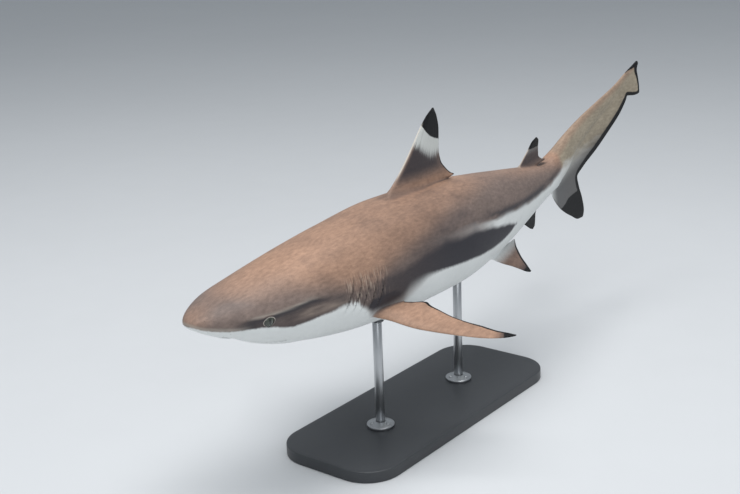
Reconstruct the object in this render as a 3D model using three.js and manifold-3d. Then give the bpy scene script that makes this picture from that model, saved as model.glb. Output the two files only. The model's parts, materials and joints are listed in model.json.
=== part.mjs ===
// A blacktip reef shark, Carcharhinus melanopterus, as a life-size display model on a plain stand.
// Millimetres, +Z up, head towards -X, left side towards -Y. The origin is the centre of the stand's underside.
//
// The fish is built straight, in its own body frame: s runs back along the backbone from the snout tip,
// y is sideways with the left side negative, and z is up from the backbone. swim() then bends it into its
// swimming pose over the stand. Everything of the fish that is cut or trimmed is cut before it is bent.

import * as THREE from "three";
import { mergeVertices } from "three/addons/utils/BufferGeometryUtils.js";
import Module from "manifold-3d";

// ---------------------------------------------------------------- driving dimensions

const GAP = 0.3; // between neighbouring solids
const GROW = 0.35; // how far a body is swollen before it trims its neighbour
const RING_POINTS = 28; // around the body
const ROUND_FACETS = 20; // around each turned piece of the stand
const REACH = 400; // sideways and up from the backbone, past every part of the fish

const SPINE = { from: -5, to: 1500, step: 5 };
const BACKBONE_HEIGHT = 320; // above the floor
const FIRST_HEADING = -5; // degrees, of the snout, from the X axis
const TURNS = [
  // where a sideways bend of the backbone starts, over what length it builds up, and its degrees
  [70, 490, 4],
  [420, 490, 7.5],
  [770, 420, -6.5],
  [1050, 350, -7],
];

const SNOUT_TIP_Z = 8;
const SNOUT_ROUNDING = { depth: 66, depthPower: 2.2, width: 92, widthPower: 2 };
const BODY = [
  // s, top, bottom and half width, before the snout is rounded
  [0, 22, -8, 48],
  [30, 30.5, -18.5, 54],
  [70, 40, -30, 61],
  [105, 48.5, -46, 66],
  [150, 58.5, -61, 72],
  [220, 72, -76, 79],
  [300, 84, -86, 84.5],
  [430, 97, -92, 88.5],
  [560, 95.5, -92, 85],
  [700, 79.5, -80, 70],
  [840, 58, -57.5, 51.5],
  [950, 40.5, -38, 36],
  [985, 36, -32, 30.5],
  [1010, 38, -28.5, 27],
  [1030, 47, -27, 24.5],
];
const WIDEST = 0.42; // height of the widest line, from the bottom, as a share of the depth
const SECTION_POWER = 2.3; // of the superellipse that every cross-section follows

const TAIL_START = 1030;
const DORSAL_MARGIN = [
  // the upper edge of the tail fin, s and z
  [1030, 47],
  [1060, 61],
  [1092, 76],
  [1160, 102],
  [1230, 125],
  [1300, 150],
  [1345, 173],
  [1386, 191],
];
const VENTRAL_MARGIN = [
  // the lower edge, s and z, and the s on the upper edge that each point faces
  [1030, -27, 1030],
  [1050, -53, 1042],
  [1081, -81, 1055],
  [1127, -107, 1070],
  [1161, -121, 1084],
  [1176, -121, 1090],
  [1181, -108, 1096],
  [1173, -81, 1104],
  [1158, -52, 1114],
  [1149, -27, 1126],
  [1173, -9, 1150],
  [1226, 18, 1200],
  [1277, 50, 1250],
  [1322, 83, 1292],
  [1344, 108, 1314],
  [1350, 118, 1322],
  [1381, 115, 1346],
  [1398, 118, 1358],
  [1396, 134, 1366],
  [1390, 154, 1375],
  [1384, 172, 1382],
  [1388, 185, 1385],
];
const TAIL_COLUMN = [
  // s on the upper edge, half thickness of the muscle along it, and the depth of that muscle
  [1030, 24.5, 74],
  [1055, 19, 72],
  [1092, 13.5, 62],
  [1160, 8.5, 46],
  [1230, 5.5, 34],
  [1300, 3.2, 24],
  [1386, 1, 8],
];
const TAIL_WEB = 2.2; // half thickness of the thin part of the tail fin
const WEB_GROWTH = 12; // length over which that thin part sets in
const WEB_RIM = 2.5; // how sharply its edge is rounded off
const LOBE_PARTING_Z = -26;

const HEAD_END = 328;
const TRUNK_MIDDLE = 650;
const STALK_START = 862;

const EYE = { s: 99, y: 53, z: -1, radius: 14 };
const EYE_FACETS = [14, 9];
const NOSTRIL = { s: 43, y: 29, z: -17, length: 7, width: 3, depth: 5, turn: 35 };
const MOUTH = { front: 75, corner: 142, halfWidth: 60, back: 188, roof: -21, floor: -200 };
// Each slit's upper end is at s = first + pitch * index; its lower end lies lean further forward.
const GILLS = { count: 5, first: 260, pitch: 15.5, top: 20, drop: 4.5, height: 42, lean: 20, bend: 1.6 };
const GILL_CUT = { width: 1.4, depth: 4, steps: 3 };

// Fins are lofted along their span. lead and trail give the chord position of each edge against the span.
const FIRST_DORSAL = {
  lead: [[78, 408], [98, 430], [128, 464], [160, 497], [195, 530], [214, 552], [224, 571]],
  trail: [[78, 588], [90, 598], [93, 622], [95, 635], [101, 623], [112, 608], [128, 593], [150, 587],
    [185, 588], [208, 583], [224, 574]],
  root: 9.5,
  tip: 1.3,
};
const SECOND_DORSAL = {
  lead: [[30, 868], [46, 884], [62, 908], [78, 933], [90, 950], [95, 967]],
  trail: [[30, 962], [38, 972], [41, 1000], [43, 1008], [48, 990], [58, 977], [75, 976], [88, 978], [95, 971]],
  root: 5,
  tip: 1,
};
const ANAL = {
  lead: [[30, 858], [50, 880], [66, 906], [80, 930], [88, 944], [91, 952]],
  trail: [[30, 934], [41, 944], [44, 978], [46, 988], [52, 974], [62, 966], [76, 965], [86, 963], [91, 956]],
  root: 5,
  tip: 1,
};
const PECTORAL = {
  at: [304.6, -73, -54], // its front root, on the left side
  chord: [0.99, -0.11, 0.09],
  dihedral: 24, // degrees below level
  lead: [[-40, -12], [0, 0], [21, 17], [54, 38], [80, 62], [105, 88], [130, 117], [145, 140], [153, 157], [156, 167]],
  trail: [[-40, 64], [0, 68], [10, 80], [19, 97], [24, 101], [30, 100], [49, 105], [68, 111], [92, 124],
    [110, 137], [131, 150], [146, 163], [156, 171]],
  root: 10,
  tip: 1.2,
};
const PELVIC = {
  at: [684, -49, -68],
  chord: [0.985, 0.16, 0.05],
  dihedral: 40,
  lead: [[-25, -12], [0, -4], [10, 2], [22, 12], [36, 27], [50, 39], [62, 49], [68, 58]],
  trail: [[-25, 60], [0, 68], [3, 90], [5, 116], [9, 110], [17, 98], [26, 89], [39, 78], [53, 71], [68, 63]],
  root: 6,
  tip: 1,
};
const FIN_EDGE = 0.55; // half thickness of every trailing edge
const FIN_WIDEST = 0.32; // chord share where a fin is thickest
const FIN_TAPER = 1.4; // power of its thinning towards the trailing edge
const SPAN_TAPER = 0.8; // power of its thinning towards the tip
const RIB_SPACING = 4; // closest that two sections of a fin may stand
const FIN_STEPS = { dorsal: 12, pectoral: 14, pelvic: 8, small: 7 }; // even sections along the span

const STAND = {
  length: 560,
  width: 220,
  thickness: 20,
  corner: 60,
  bevel: 2,
  rodRadius: 8,
  rods: { front: 400, rear: 640 }, // where each rod meets the belly
  collarRadius: 24,
  collarHeight: 10,
};
// The cup on each rod: heights are from the belly line.
const SADDLE = { radius: 19, foot: -16, footWall: 3, shoulder: -3, top: 30 };

const BACK_TAN = 0x9a7f6b;
const BELLY_WHITE = 0xdcdfdc;
const TIP_BLACK = 0x17171c;
const EYE_GREEN = 0x5a6149;
const BASE_GREY = 0x3a3c3f;
const STEEL = 0xb8bbbe;
const FLESH_FINISH = { roughness: 0.55, metalness: 0 };
const EYE_FINISH = { roughness: 0.08, metalness: 0 };
const STEEL_FINISH = { roughness: 0.3, metalness: 1 };
const BASE_FINISH = { roughness: 0.5, metalness: 0 };

// ---------------------------------------------------------------- small mathematics

const wasm = await Module();
wasm.setup();

const radians = (degrees) => (degrees * Math.PI) / 180;
const mix = (a, b, t) => a + (b - a) * t;

function smoothstep(t) {
  const u = Math.min(1, Math.max(0, t));
  return u * u * (3 - 2 * u);
}

// The smooth curve y(x) through points [x, y], which never overshoots them.
function curveThrough(points) {
  const x = points.map((p) => p[0]);
  const y = points.map((p) => p[1]);
  const rise = x.slice(1).map((value, i) => (y[i + 1] - y[i]) / (value - x[i]));
  const slope = x.map((_, i) => {
    const before = rise[Math.max(0, i - 1)];
    const after = rise[Math.min(rise.length - 1, i)];
    return before * after > 0 ? (2 * before * after) / (before + after) : 0;
  });
  return (at) => {
    const t = Math.min(x[x.length - 1], Math.max(x[0], at));
    const i = Math.min(x.length - 2, Math.max(0, x.findIndex((value) => value > t) - 1));
    const k = t >= x[x.length - 1] ? x.length - 2 : i;
    const width = x[k + 1] - x[k];
    const u = (t - x[k]) / width;
    const rest = 1 - u;
    return (
      y[k] * rest * rest * (1 + 2 * u) +
      y[k + 1] * u * u * (3 - 2 * u) +
      width * u * rest * (slope[k] * rest - slope[k + 1] * u)
    );
  };
}

const column = (rows, index) => curveThrough(rows.map((row) => [row[0], row[index]]));

// ---------------------------------------------------------------- the pose

const spine = [];
{
  let x = 0;
  let y = 0;
  for (let s = SPINE.from; s <= SPINE.to; s += SPINE.step) {
    let heading = radians(FIRST_HEADING);
    for (const [start, length, degrees] of TURNS) heading += radians(degrees) * smoothstep((s - start) / length);
    spine.push({ x, y, heading });
    x += SPINE.step * Math.cos(heading);
    y += SPINE.step * Math.sin(heading);
  }
}

function spineAt(s) {
  const place = (s - SPINE.from) / SPINE.step;
  const i = Math.min(spine.length - 2, Math.max(0, Math.floor(place)));
  const t = place - i;
  const [a, b] = [spine[i], spine[i + 1]];
  return { x: mix(a.x, b.x, t), y: mix(a.y, b.y, t), heading: mix(a.heading, b.heading, t) };
}

const frontRod = spineAt(STAND.rods.front);
const rearRod = spineAt(STAND.rods.rear);
const standCentre = { x: (frontRod.x + rearRod.x) / 2, y: (frontRod.y + rearRod.y) / 2 };

// A point of the straight fish, in its place over the stand.
function swim(point) {
  const { x, y, heading } = spineAt(point.x);
  return new THREE.Vector3(
    x - standCentre.x - point.y * Math.sin(heading),
    y - standCentre.y + point.y * Math.cos(heading),
    point.z + BACKBONE_HEIGHT,
  );
}

// ---------------------------------------------------------------- solids

function manifoldOf(positions, faces) {
  const build = (triangles) =>
    new wasm.Manifold(
      new wasm.Mesh({
        numProp: 3,
        vertProperties: Float32Array.from(positions.flatMap((p) => [p.x, p.y, p.z])),
        triVerts: Uint32Array.from(triangles.flat()),
      }),
    );
  const solid = build(faces);
  return solid.volume() > 0 ? solid : build(faces.map(([a, b, c]) => [a, c, b]));
}

// The closed solid of a three.js geometry.
function solidOf(geometry) {
  const bare = new THREE.BufferGeometry().setAttribute("position", geometry.getAttribute("position"));
  if (geometry.index) bare.setIndex(geometry.index);
  const merged = mergeVertices(bare, 1e-3);
  return new wasm.Manifold(
    new wasm.Mesh({
      numProp: 3,
      vertProperties: merged.attributes.position.array,
      triVerts: new Uint32Array(merged.index.array),
    }),
  );
}

// A skin over a row of rings with equally many points, closed by a fan at each end.
function loft(rings) {
  const count = rings[0].length;
  const middle = (ring) =>
    ring.reduce((sum, p) => sum.add(p), new THREE.Vector3()).divideScalar(ring.length);
  const positions = [...rings.flat(), middle(rings[0]), middle(rings[rings.length - 1])];
  const faces = [];
  for (let i = 0; i + 1 < rings.length; i++) {
    for (let k = 0; k < count; k++) {
      const next = (k + 1) % count;
      const [a, b, c, d] = [i * count + k, i * count + next, (i + 1) * count + next, (i + 1) * count + k];
      faces.push([a, b, c], [a, c, d]);
    }
  }
  const last = (rings.length - 1) * count;
  for (let k = 0; k < count; k++) {
    const next = (k + 1) % count;
    faces.push([positions.length - 2, next, k], [positions.length - 1, last + k, last + next]);
  }
  return manifoldOf(positions, faces);
}

function box(from, to) {
  const geometry = new THREE.BoxGeometry(to[0] - from[0], to[1] - from[1], to[2] - from[2]);
  geometry.translate((to[0] + from[0]) / 2, (to[1] + from[1]) / 2, (to[2] + from[2]) / 2);
  return solidOf(geometry);
}

// Everything between two stations of the backbone.
const slab = (from, to) => box([from, -REACH, -REACH], [to, REACH, REACH]);

// ---------------------------------------------------------------- body and tail

const topOf = column(BODY, 1);
const bottomOf = column(BODY, 2);
const halfWidthOf = column(BODY, 3);

// 0 at the snout tip, rising to 1 where the snout's rounding ends.
function rounding(s, length, power) {
  const t = Math.min(1, Math.max(0, 1 - s / length));
  return (1 - t ** power) ** (1 / power);
}

function bodyStation(s, grow) {
  const deep = rounding(s, SNOUT_ROUNDING.depth, SNOUT_ROUNDING.depthPower);
  const wide = rounding(s, SNOUT_ROUNDING.width, SNOUT_ROUNDING.widthPower);
  const top = mix(SNOUT_TIP_Z, topOf(s), deep) + grow;
  const bottom = mix(SNOUT_TIP_Z, bottomOf(s), deep) - grow;
  const half = halfWidthOf(s) * wide + grow;
  return { upper: [s, top], lower: [s, bottom], half, depth: top - bottom, web: 0 };
}

const dorsalMargin = curveThrough(DORSAL_MARGIN);
const columnHalf = column(TAIL_COLUMN, 1);
const columnDepth = column(TAIL_COLUMN, 2);

function tailStation([lowerS, lowerZ, upperS], grow) {
  const upper = [upperS, dorsalMargin(upperS)];
  const length = Math.hypot(lowerS - upper[0], lowerZ - upper[1]);
  const out = [(upper[0] - lowerS) / length, (upper[1] - lowerZ) / length];
  const web = smoothstep((upperS - TAIL_START) / WEB_GROWTH) * TAIL_WEB;
  return {
    upper: [upper[0] + grow * out[0], upper[1] + grow * out[1]],
    lower: [lowerS - grow * out[0], lowerZ - grow * out[1]],
    half: columnHalf(upperS) + grow,
    depth: Math.min(length, columnDepth(upperS)),
    web,
  };
}

// One ring of points around a station, from its upper end down the left side and up the right.
function ringAt({ upper, lower, half, depth, web }) {
  const length = Math.hypot(lower[0] - upper[0], lower[1] - upper[1]);
  const points = [];
  for (let k = 0; k < RING_POINTS; k++) {
    const angle = (2 * Math.PI * k) / RING_POINTS;
    const rise = Math.cos(angle);
    const above = rise > 0 ? 1 - WIDEST : WIDEST;
    const share = 1 - WIDEST - above * Math.sign(rise) * Math.abs(rise) ** (2 / SECTION_POWER);
    const muscle = Math.min(1, (share * length) / depth);
    const reach = muscle < 1 - WIDEST ? 1 - muscle / (1 - WIDEST) : (muscle - (1 - WIDEST)) / WIDEST;
    const bulge = (1 - Math.min(1, reach) ** SECTION_POWER) ** (1 / SECTION_POWER);
    const rim = Math.min(1, Math.abs(Math.sin(angle)) * WEB_RIM);
    const side = Math.abs(Math.sin(angle)) < 1e-9 ? 0 : Math.sign(Math.sin(angle));
    const thick = Math.max(half * bulge, web * rim);
    points.push(
      new THREE.Vector3(mix(upper[0], lower[0], share), -side * thick, mix(upper[1], lower[1], share)),
    );
  }
  return points;
}

const HEAD_RINGS = [0.5, 2.5, 7, 14, 24, 36, 51, 68, 88, 110, 134, 162, 194, 228, 264, 300];
const TRUNK_RINGS = 20;

// The whole animal without its side fins: snout, trunk, stalk and tail fin.
function wholeBody(grow) {
  const rings = HEAD_RINGS.map((s) => ringAt(bodyStation(s, grow)));
  for (let i = 1; i <= TRUNK_RINGS; i++) {
    const s = mix(HEAD_RINGS.at(-1), TAIL_START, i / TRUNK_RINGS);
    rings.push(ringAt(bodyStation(s, grow)));
  }
  for (const row of VENTRAL_MARGIN.slice(1)) rings.push(ringAt(tailStation(row, grow)));
  return loft(rings);
}

const body = wholeBody(0);
const bodySwollen = wholeBody(GROW);

const stretch = (from, to) => body.intersect(slab(from + GAP / 2, to - GAP / 2));

// ---------------------------------------------------------------- fins

const FIN_SECTION = [0, 0.05, 0.18, 0.4, 0.7, 1]; // chord shares of the points on one side

// Half thickness at a chord share: a round leading edge, widest a third of the way back, then a taper.
function finProfile(share, thick) {
  if (share < FIN_WIDEST) return thick * Math.sqrt(1 - (1 - share / FIN_WIDEST) ** 2);
  return mix(thick, FIN_EDGE, ((share - FIN_WIDEST) / (1 - FIN_WIDEST)) ** FIN_TAPER);
}

// A fin whose place(chord, span, side) gives each point of the body frame.
function finSolid({ lead, trail, root, tip }, place, steps) {
  const leadAt = curveThrough(lead);
  const trailAt = curveThrough(trail);
  const inner = lead[0][0];
  const outer = lead[lead.length - 1][0];
  const marks = trail.map((point) => point[0]);
  for (let i = 0; i < steps; i++) {
    const span = mix(inner, outer, i / steps);
    if (marks.every((mark) => Math.abs(mark - span) > RIB_SPACING)) marks.push(span);
  }
  marks.sort((a, b) => a - b);
  const rings = marks.map((span) => {
    const thick = mix(root, tip, Math.max(0, (span - inner) / (outer - inner)) ** SPAN_TAPER);
    const [front, back] = [leadAt(span), trailAt(span)];
    const at = (share, side) =>
      place(mix(front, back, share), span, side * (share === 0 ? 0 : finProfile(share, thick)));
    const left = FIN_SECTION.map((share) => at(share, 1));
    const right = FIN_SECTION.slice(1).reverse().map((share) => at(share, -1));
    return [...left, ...right];
  });
  return loft(rings).subtract(bodySwollen);
}

const largest = (solid) => solid.decompose().sort((a, b) => b.volume() - a.volume())[0];

const dorsalPlace = (chord, span, side) => new THREE.Vector3(chord, side, span);
const analPlace = (chord, span, side) => new THREE.Vector3(chord, side, -span);

// A pectoral or pelvic fin: hand is 1 on the left side and -1 on the right.
function pairedPlace({ at, chord, dihedral }, hand) {
  const root = new THREE.Vector3(...at);
  const back = new THREE.Vector3(...chord).normalize();
  const out = new THREE.Vector3(0, -Math.cos(radians(dihedral)), -Math.sin(radians(dihedral)));
  out.addScaledVector(back, -out.dot(back)).normalize();
  const up = new THREE.Vector3().crossVectors(out, back);
  return (chordwise, span, side) => {
    const p = root.clone().addScaledVector(back, chordwise).addScaledVector(out, span).addScaledVector(up, side);
    return new THREE.Vector3(p.x, p.y * hand, p.z);
  };
}

// ---------------------------------------------------------------- head

function mirrored(solids) {
  return solids.flatMap((make) => [make(1), make(-1)]);
}

function eyeball(hand, grow) {
  const geometry = new THREE.SphereGeometry(EYE.radius + grow, ...EYE_FACETS);
  geometry.rotateX(Math.PI / 2);
  geometry.translate(EYE.s, -hand * EYE.y, EYE.z);
  return solidOf(geometry);
}

// The block that holds the lower jaw: a rounded front, straight sides behind the mouth's corners.
function jawBlock(grow) {
  const { front, corner, halfWidth, back, roof, floor } = MOUTH;
  const shape = new THREE.Shape();
  shape.moveTo(back + grow, -halfWidth - grow);
  shape.lineTo(corner, -halfWidth - grow);
  shape.absellipse(corner, 0, corner - front + grow, halfWidth + grow, -Math.PI / 2, Math.PI / 2, true);
  shape.lineTo(back + grow, halfWidth + grow);
  shape.closePath();
  const geometry = new THREE.ExtrudeGeometry(shape, {
    depth: roof + grow - floor,
    bevelEnabled: false,
    curveSegments: 10,
  });
  geometry.translate(0, 0, floor);
  return solidOf(geometry);
}

function nostrilCut(hand) {
  const geometry = new THREE.SphereGeometry(1, 8, 6);
  geometry.scale(NOSTRIL.length, NOSTRIL.width, NOSTRIL.depth);
  geometry.rotateZ(hand * radians(NOSTRIL.turn));
  geometry.translate(NOSTRIL.s, -hand * NOSTRIL.y, NOSTRIL.z);
  return solidOf(geometry);
}

// One gill slit, as a curved strip that runs down and forward.
function gillStrip(index, hand) {
  const { first, pitch, top, drop, height, lean, bend } = GILLS;
  const { width, steps } = GILL_CUT;
  const edge = (offset) =>
    Array.from({ length: steps + 1 }, (_, i) => {
      const down = i / steps;
      return new THREE.Vector2(
        first + pitch * index - lean * down ** bend + offset,
        top - drop * index - height * down,
      );
    });
  const outline = new THREE.Shape([...edge(-width / 2), ...edge(width / 2).reverse()]);
  const geometry = new THREE.ExtrudeGeometry(outline, { depth: REACH, bevelEnabled: false });
  geometry.rotateX(Math.PI / 2);
  geometry.translate(0, hand > 0 ? 0 : REACH, 0);
  return solidOf(geometry);
}

function gillCuts() {
  const skin = wholeBody(GROW).subtract(wholeBody(-GILL_CUT.depth));
  const strips = [];
  for (let i = 0; i < GILLS.count; i++) strips.push(gillStrip(i, 1), gillStrip(i, -1));
  return strips.reduce((sum, strip) => sum.add(strip)).intersect(skin);
}

const sockets = mirrored([(hand) => eyeball(hand, GROW)]);
const nostrils = mirrored([nostrilCut]);
const eyes = mirrored([(hand) => eyeball(hand, 0)]);

let head = stretch(SPINE.from, HEAD_END).subtract(gillCuts());
for (const cut of [...sockets, ...nostrils, jawBlock(GAP)]) head = head.subtract(cut);
const lowerJaw = stretch(SPINE.from, HEAD_END).intersect(jawBlock(0));

// ---------------------------------------------------------------- stand

function roundRod(station, radius, fromZ, toZ) {
  const geometry = new THREE.CylinderGeometry(radius, radius, toZ - fromZ, ROUND_FACETS);
  geometry.rotateX(Math.PI / 2);
  geometry.translate(station, 0, (fromZ + toZ) / 2);
  return solidOf(geometry);
}

const floorZ = -BACKBONE_HEIGHT;
const baseTop = floorZ + STAND.thickness;

function rod(station) {
  return roundRod(station, STAND.rodRadius, baseTop + GAP, 0).subtract(bodySwollen);
}

// A ring around the foot of a rod.
function collar(station) {
  const { rodRadius, collarRadius, collarHeight } = STAND;
  const inner = rodRadius + GAP;
  const profile = [
    [inner, 0],
    [collarRadius, 0],
    [collarRadius, collarHeight / 2],
    [inner, collarHeight],
    [inner, 0],
  ].map(([r, z]) => new THREE.Vector2(r, z));
  const geometry = new THREE.LatheGeometry(profile, ROUND_FACETS);
  geometry.rotateX(Math.PI / 2);
  geometry.translate(station, 0, baseTop + GAP);
  return solidOf(geometry);
}

// The cup around the head of a rod, shaped to the belly.
function saddle(station) {
  const { radius, foot, footWall, shoulder, top } = SADDLE;
  const inner = STAND.rodRadius + GAP;
  const profile = [
    [inner, foot],
    [inner + footWall, foot],
    [radius, shoulder],
    [radius, top],
    [inner, top],
    [inner, foot],
  ].map(([r, z]) => new THREE.Vector2(r, z));
  const geometry = new THREE.LatheGeometry(profile, ROUND_FACETS);
  geometry.rotateX(Math.PI / 2);
  geometry.translate(station, 0, bottomOf(station));
  return largest(solidOf(geometry).subtract(bodySwollen));
}

function basePlate() {
  const { length, width, thickness, corner, bevel } = STAND;
  const [x, y, r] = [length / 2 - bevel, width / 2 - bevel, corner];
  const shape = new THREE.Shape();
  shape.moveTo(-x + r, -y);
  shape.lineTo(x - r, -y);
  shape.absarc(x - r, -y + r, r, -Math.PI / 2, 0, false);
  shape.absarc(x - r, y - r, r, 0, Math.PI / 2, false);
  shape.absarc(-x + r, y - r, r, Math.PI / 2, Math.PI, false);
  shape.absarc(-x + r, -y + r, r, Math.PI, 1.5 * Math.PI, false);
  const geometry = new THREE.ExtrudeGeometry(shape, {
    depth: thickness - 2 * bevel,
    bevelSize: bevel,
    bevelThickness: bevel,
    bevelSegments: 1,
    curveSegments: 6,
  });
  geometry.translate(0, 0, bevel);
  return solidOf(geometry);
}

// ---------------------------------------------------------------- the scene graph

const shark = new THREE.Group();

function addPart(name, solid, colour, finish, place) {
  const mesh = solid.getMesh();
  const positions = [];
  for (let i = 0; i < mesh.numVert; i++) {
    const [x, y, z] = mesh.vertProperties.subarray(i * mesh.numProp, i * mesh.numProp + 3);
    const point = place(new THREE.Vector3(x, y, z));
    positions.push(point.x, point.y, point.z);
  }
  const geometry = new THREE.BufferGeometry();
  geometry.setAttribute("position", new THREE.Float32BufferAttribute(positions, 3));
  geometry.setIndex(new THREE.BufferAttribute(new Uint32Array(mesh.triVerts), 1));
  geometry.computeVertexNormals();
  const part = new THREE.Mesh(geometry, new THREE.MeshStandardMaterial({ color: colour, ...finish }));
  part.name = name;
  shark.add(part);
}

const addFlesh = (name, solid, colour) => addPart(name, solid, colour, FLESH_FINISH, swim);
const addSteel = (name, solid) => addPart(name, solid, STEEL, STEEL_FINISH, swim);

addFlesh("head", head, BACK_TAN);
addFlesh("lower_jaw", lowerJaw, BELLY_WHITE);
addFlesh("trunk_front", stretch(HEAD_END, TRUNK_MIDDLE), BACK_TAN);
addFlesh("trunk_rear", stretch(TRUNK_MIDDLE, STALK_START), BACK_TAN);
addFlesh("tail_stalk", stretch(STALK_START, TAIL_START), BACK_TAN);

const tailFin = stretch(TAIL_START, SPINE.to);
const aboveParting = box([TAIL_START, -REACH, LOBE_PARTING_Z + GAP / 2], [SPINE.to, REACH, REACH]);
const belowParting = box([TAIL_START, -REACH, -REACH], [SPINE.to, REACH, LOBE_PARTING_Z - GAP / 2]);
addFlesh("caudal_fin_upper_lobe", tailFin.intersect(aboveParting), BACK_TAN);
addFlesh("caudal_fin_lower_lobe", tailFin.intersect(belowParting), TIP_BLACK);

addFlesh("first_dorsal_fin", finSolid(FIRST_DORSAL, dorsalPlace, FIN_STEPS.dorsal), BACK_TAN);
addFlesh("second_dorsal_fin", finSolid(SECOND_DORSAL, dorsalPlace, FIN_STEPS.small), BACK_TAN);
addFlesh("anal_fin", finSolid(ANAL, analPlace, FIN_STEPS.small), TIP_BLACK);
for (const [side, hand] of [["left", 1], ["right", -1]]) {
  const pectoral = finSolid(PECTORAL, pairedPlace(PECTORAL, hand), FIN_STEPS.pectoral);
  const pelvic = finSolid(PELVIC, pairedPlace(PELVIC, hand), FIN_STEPS.pelvic);
  addFlesh("pectoral_fin_" + side, largest(pectoral), BACK_TAN);
  addFlesh("pelvic_fin_" + side, largest(pelvic), BACK_TAN);
  addPart("eye_" + side, eyes[hand > 0 ? 0 : 1], EYE_GREEN, EYE_FINISH, swim);
}

addPart("stand_base", basePlate(), BASE_GREY, BASE_FINISH, (point) => point);
for (const [end, station] of Object.entries(STAND.rods)) {
  addSteel("stand_rod_" + end, rod(station));
  addSteel("stand_collar_" + end, collar(station));
  addSteel("stand_saddle_" + end, saddle(station));
}

export default shark;
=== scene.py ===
# A life-size display model of a blacktip reef shark, Carcharhinus melanopterus, swimming in a gentle bend
# over a plain stand. The fish is one continuous skin with its eyes as separate balls.
#
# The fish is worked out straight, in its own body frame and in millimetres: s runs back from the snout tip,
# y is sideways with the left side negative, and z is up from the backbone. swim() bends it and turns the
# millimetres into the metres of the frame.

import json
import math

import bmesh
import bpy
import numpy as np
from mathutils import Matrix, Vector
from mathutils.geometry import delaunay_2d_cdt

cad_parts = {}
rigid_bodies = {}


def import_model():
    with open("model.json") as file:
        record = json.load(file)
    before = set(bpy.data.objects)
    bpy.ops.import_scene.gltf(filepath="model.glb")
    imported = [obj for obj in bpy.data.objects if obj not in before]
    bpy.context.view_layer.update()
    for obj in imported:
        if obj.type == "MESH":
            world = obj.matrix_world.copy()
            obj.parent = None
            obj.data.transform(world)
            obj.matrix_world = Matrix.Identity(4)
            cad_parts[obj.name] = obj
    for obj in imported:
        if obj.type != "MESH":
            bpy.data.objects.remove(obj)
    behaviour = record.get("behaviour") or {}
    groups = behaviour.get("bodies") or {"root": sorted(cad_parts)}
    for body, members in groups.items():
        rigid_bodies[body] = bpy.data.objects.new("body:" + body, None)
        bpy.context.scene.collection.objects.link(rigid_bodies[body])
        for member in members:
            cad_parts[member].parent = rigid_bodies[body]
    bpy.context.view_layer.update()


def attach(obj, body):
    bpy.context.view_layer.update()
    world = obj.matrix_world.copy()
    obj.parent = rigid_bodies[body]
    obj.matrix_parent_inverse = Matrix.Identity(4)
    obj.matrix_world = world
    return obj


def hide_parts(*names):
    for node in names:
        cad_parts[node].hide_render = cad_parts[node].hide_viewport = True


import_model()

# -------------------- sizes of the body, in millimetres

MM = 0.001

SPINE_STEP = 5
SPINE_END = 1500
BACKBONE_HEIGHT = 320
FIRST_HEADING = -5  # degrees
# Where a sideways bend of the backbone starts, over what length it builds up, and its degrees.
TURNS = [(70, 490, 4), (420, 490, 7.5), (770, 420, -6.5), (1050, 350, -7)]
ROD_STATIONS = {"front": 400, "rear": 640}

SNOUT_TIP_Z = 8
SNOUT_DEPTH_ROUNDING = (66, 2.2)  # length and power
SNOUT_WIDTH_ROUNDING = (92, 2)
# s, top, bottom and half width, before the snout is rounded.
BODY = [
    (0, 22, -8, 48), (30, 30.5, -18.5, 54), (70, 40, -30, 61), (105, 48.5, -46, 66),
    (150, 58.5, -61, 72), (220, 72, -76, 79), (300, 84, -86, 84.5), (430, 97, -92, 88.5),
    (560, 95.5, -92, 85), (700, 79.5, -80, 70), (840, 58, -57.5, 51.5), (950, 40.5, -38, 36),
    (985, 36, -32, 30.5), (1010, 38, -28.5, 27), (1030, 47, -27, 24.5),
]
WIDEST = 0.42  # height of the widest line, from the bottom, as a share of the depth
SECTION_POWER = 2.3  # of the superellipse that every section follows

TAIL_START = 1030
DORSAL_MARGIN = [
    (1030, 47), (1060, 61), (1092, 76), (1160, 102), (1230, 125), (1300, 150), (1345, 173), (1386, 191),
]
# The lower edge of the tail fin, s and z, and the s on the upper edge that each point faces.
VENTRAL_MARGIN = [
    (1030, -27, 1030), (1050, -53, 1038), (1081, -81, 1047), (1127, -107, 1057), (1161, -121, 1064),
    (1176, -121, 1068), (1181, -108, 1072), (1173, -81, 1079), (1158, -52, 1088), (1149, -27, 1100),
    (1173, -9, 1134), (1226, 18, 1192), (1277, 50, 1246), (1322, 83, 1292), (1344, 108, 1314),
    (1350, 118, 1322), (1381, 115, 1346), (1398, 118, 1358), (1396, 134, 1361), (1390, 154, 1369),
    (1384, 172, 1379), (1388, 185, 1385),
]
# s on the upper edge, half thickness of the muscle along it, and the depth of that muscle.
TAIL_COLUMN = [
    (1030, 24.5, 74), (1055, 19, 72), (1092, 13.5, 62), (1160, 8.5, 46), (1230, 5.5, 34), (1300, 3.2, 24),
    (1386, 1, 8),
]
TAIL_WEB = 2.2  # half thickness of the thin part of the tail fin
WEB_GROWTH = 12  # over what length it sets in
WEB_RIM = 2.5  # how quickly it thickens from its edge
WEB_BLEND = 0.9  # how softly the muscle runs out into the thin part

AROUND = 144  # points round every section of the body
FIRST_SECTION = 0.08  # s of the one nearest the snout tip
NORMAL_STEPS = (0.3, 0.01)  # of s and turn, to take normals with
# Spacing of the sections against s: close at the snout and over the gills.
SECTION_SPACING = [
    (0, 0.3), (8, 1.6), (60, 2.2), (225, 2.2), (240, 1.4), (325, 1.4), (390, 5), (860, 5), (890, 3.5),
    (1030, 3.2),
]
TAIL_SECTIONS = 168
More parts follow.
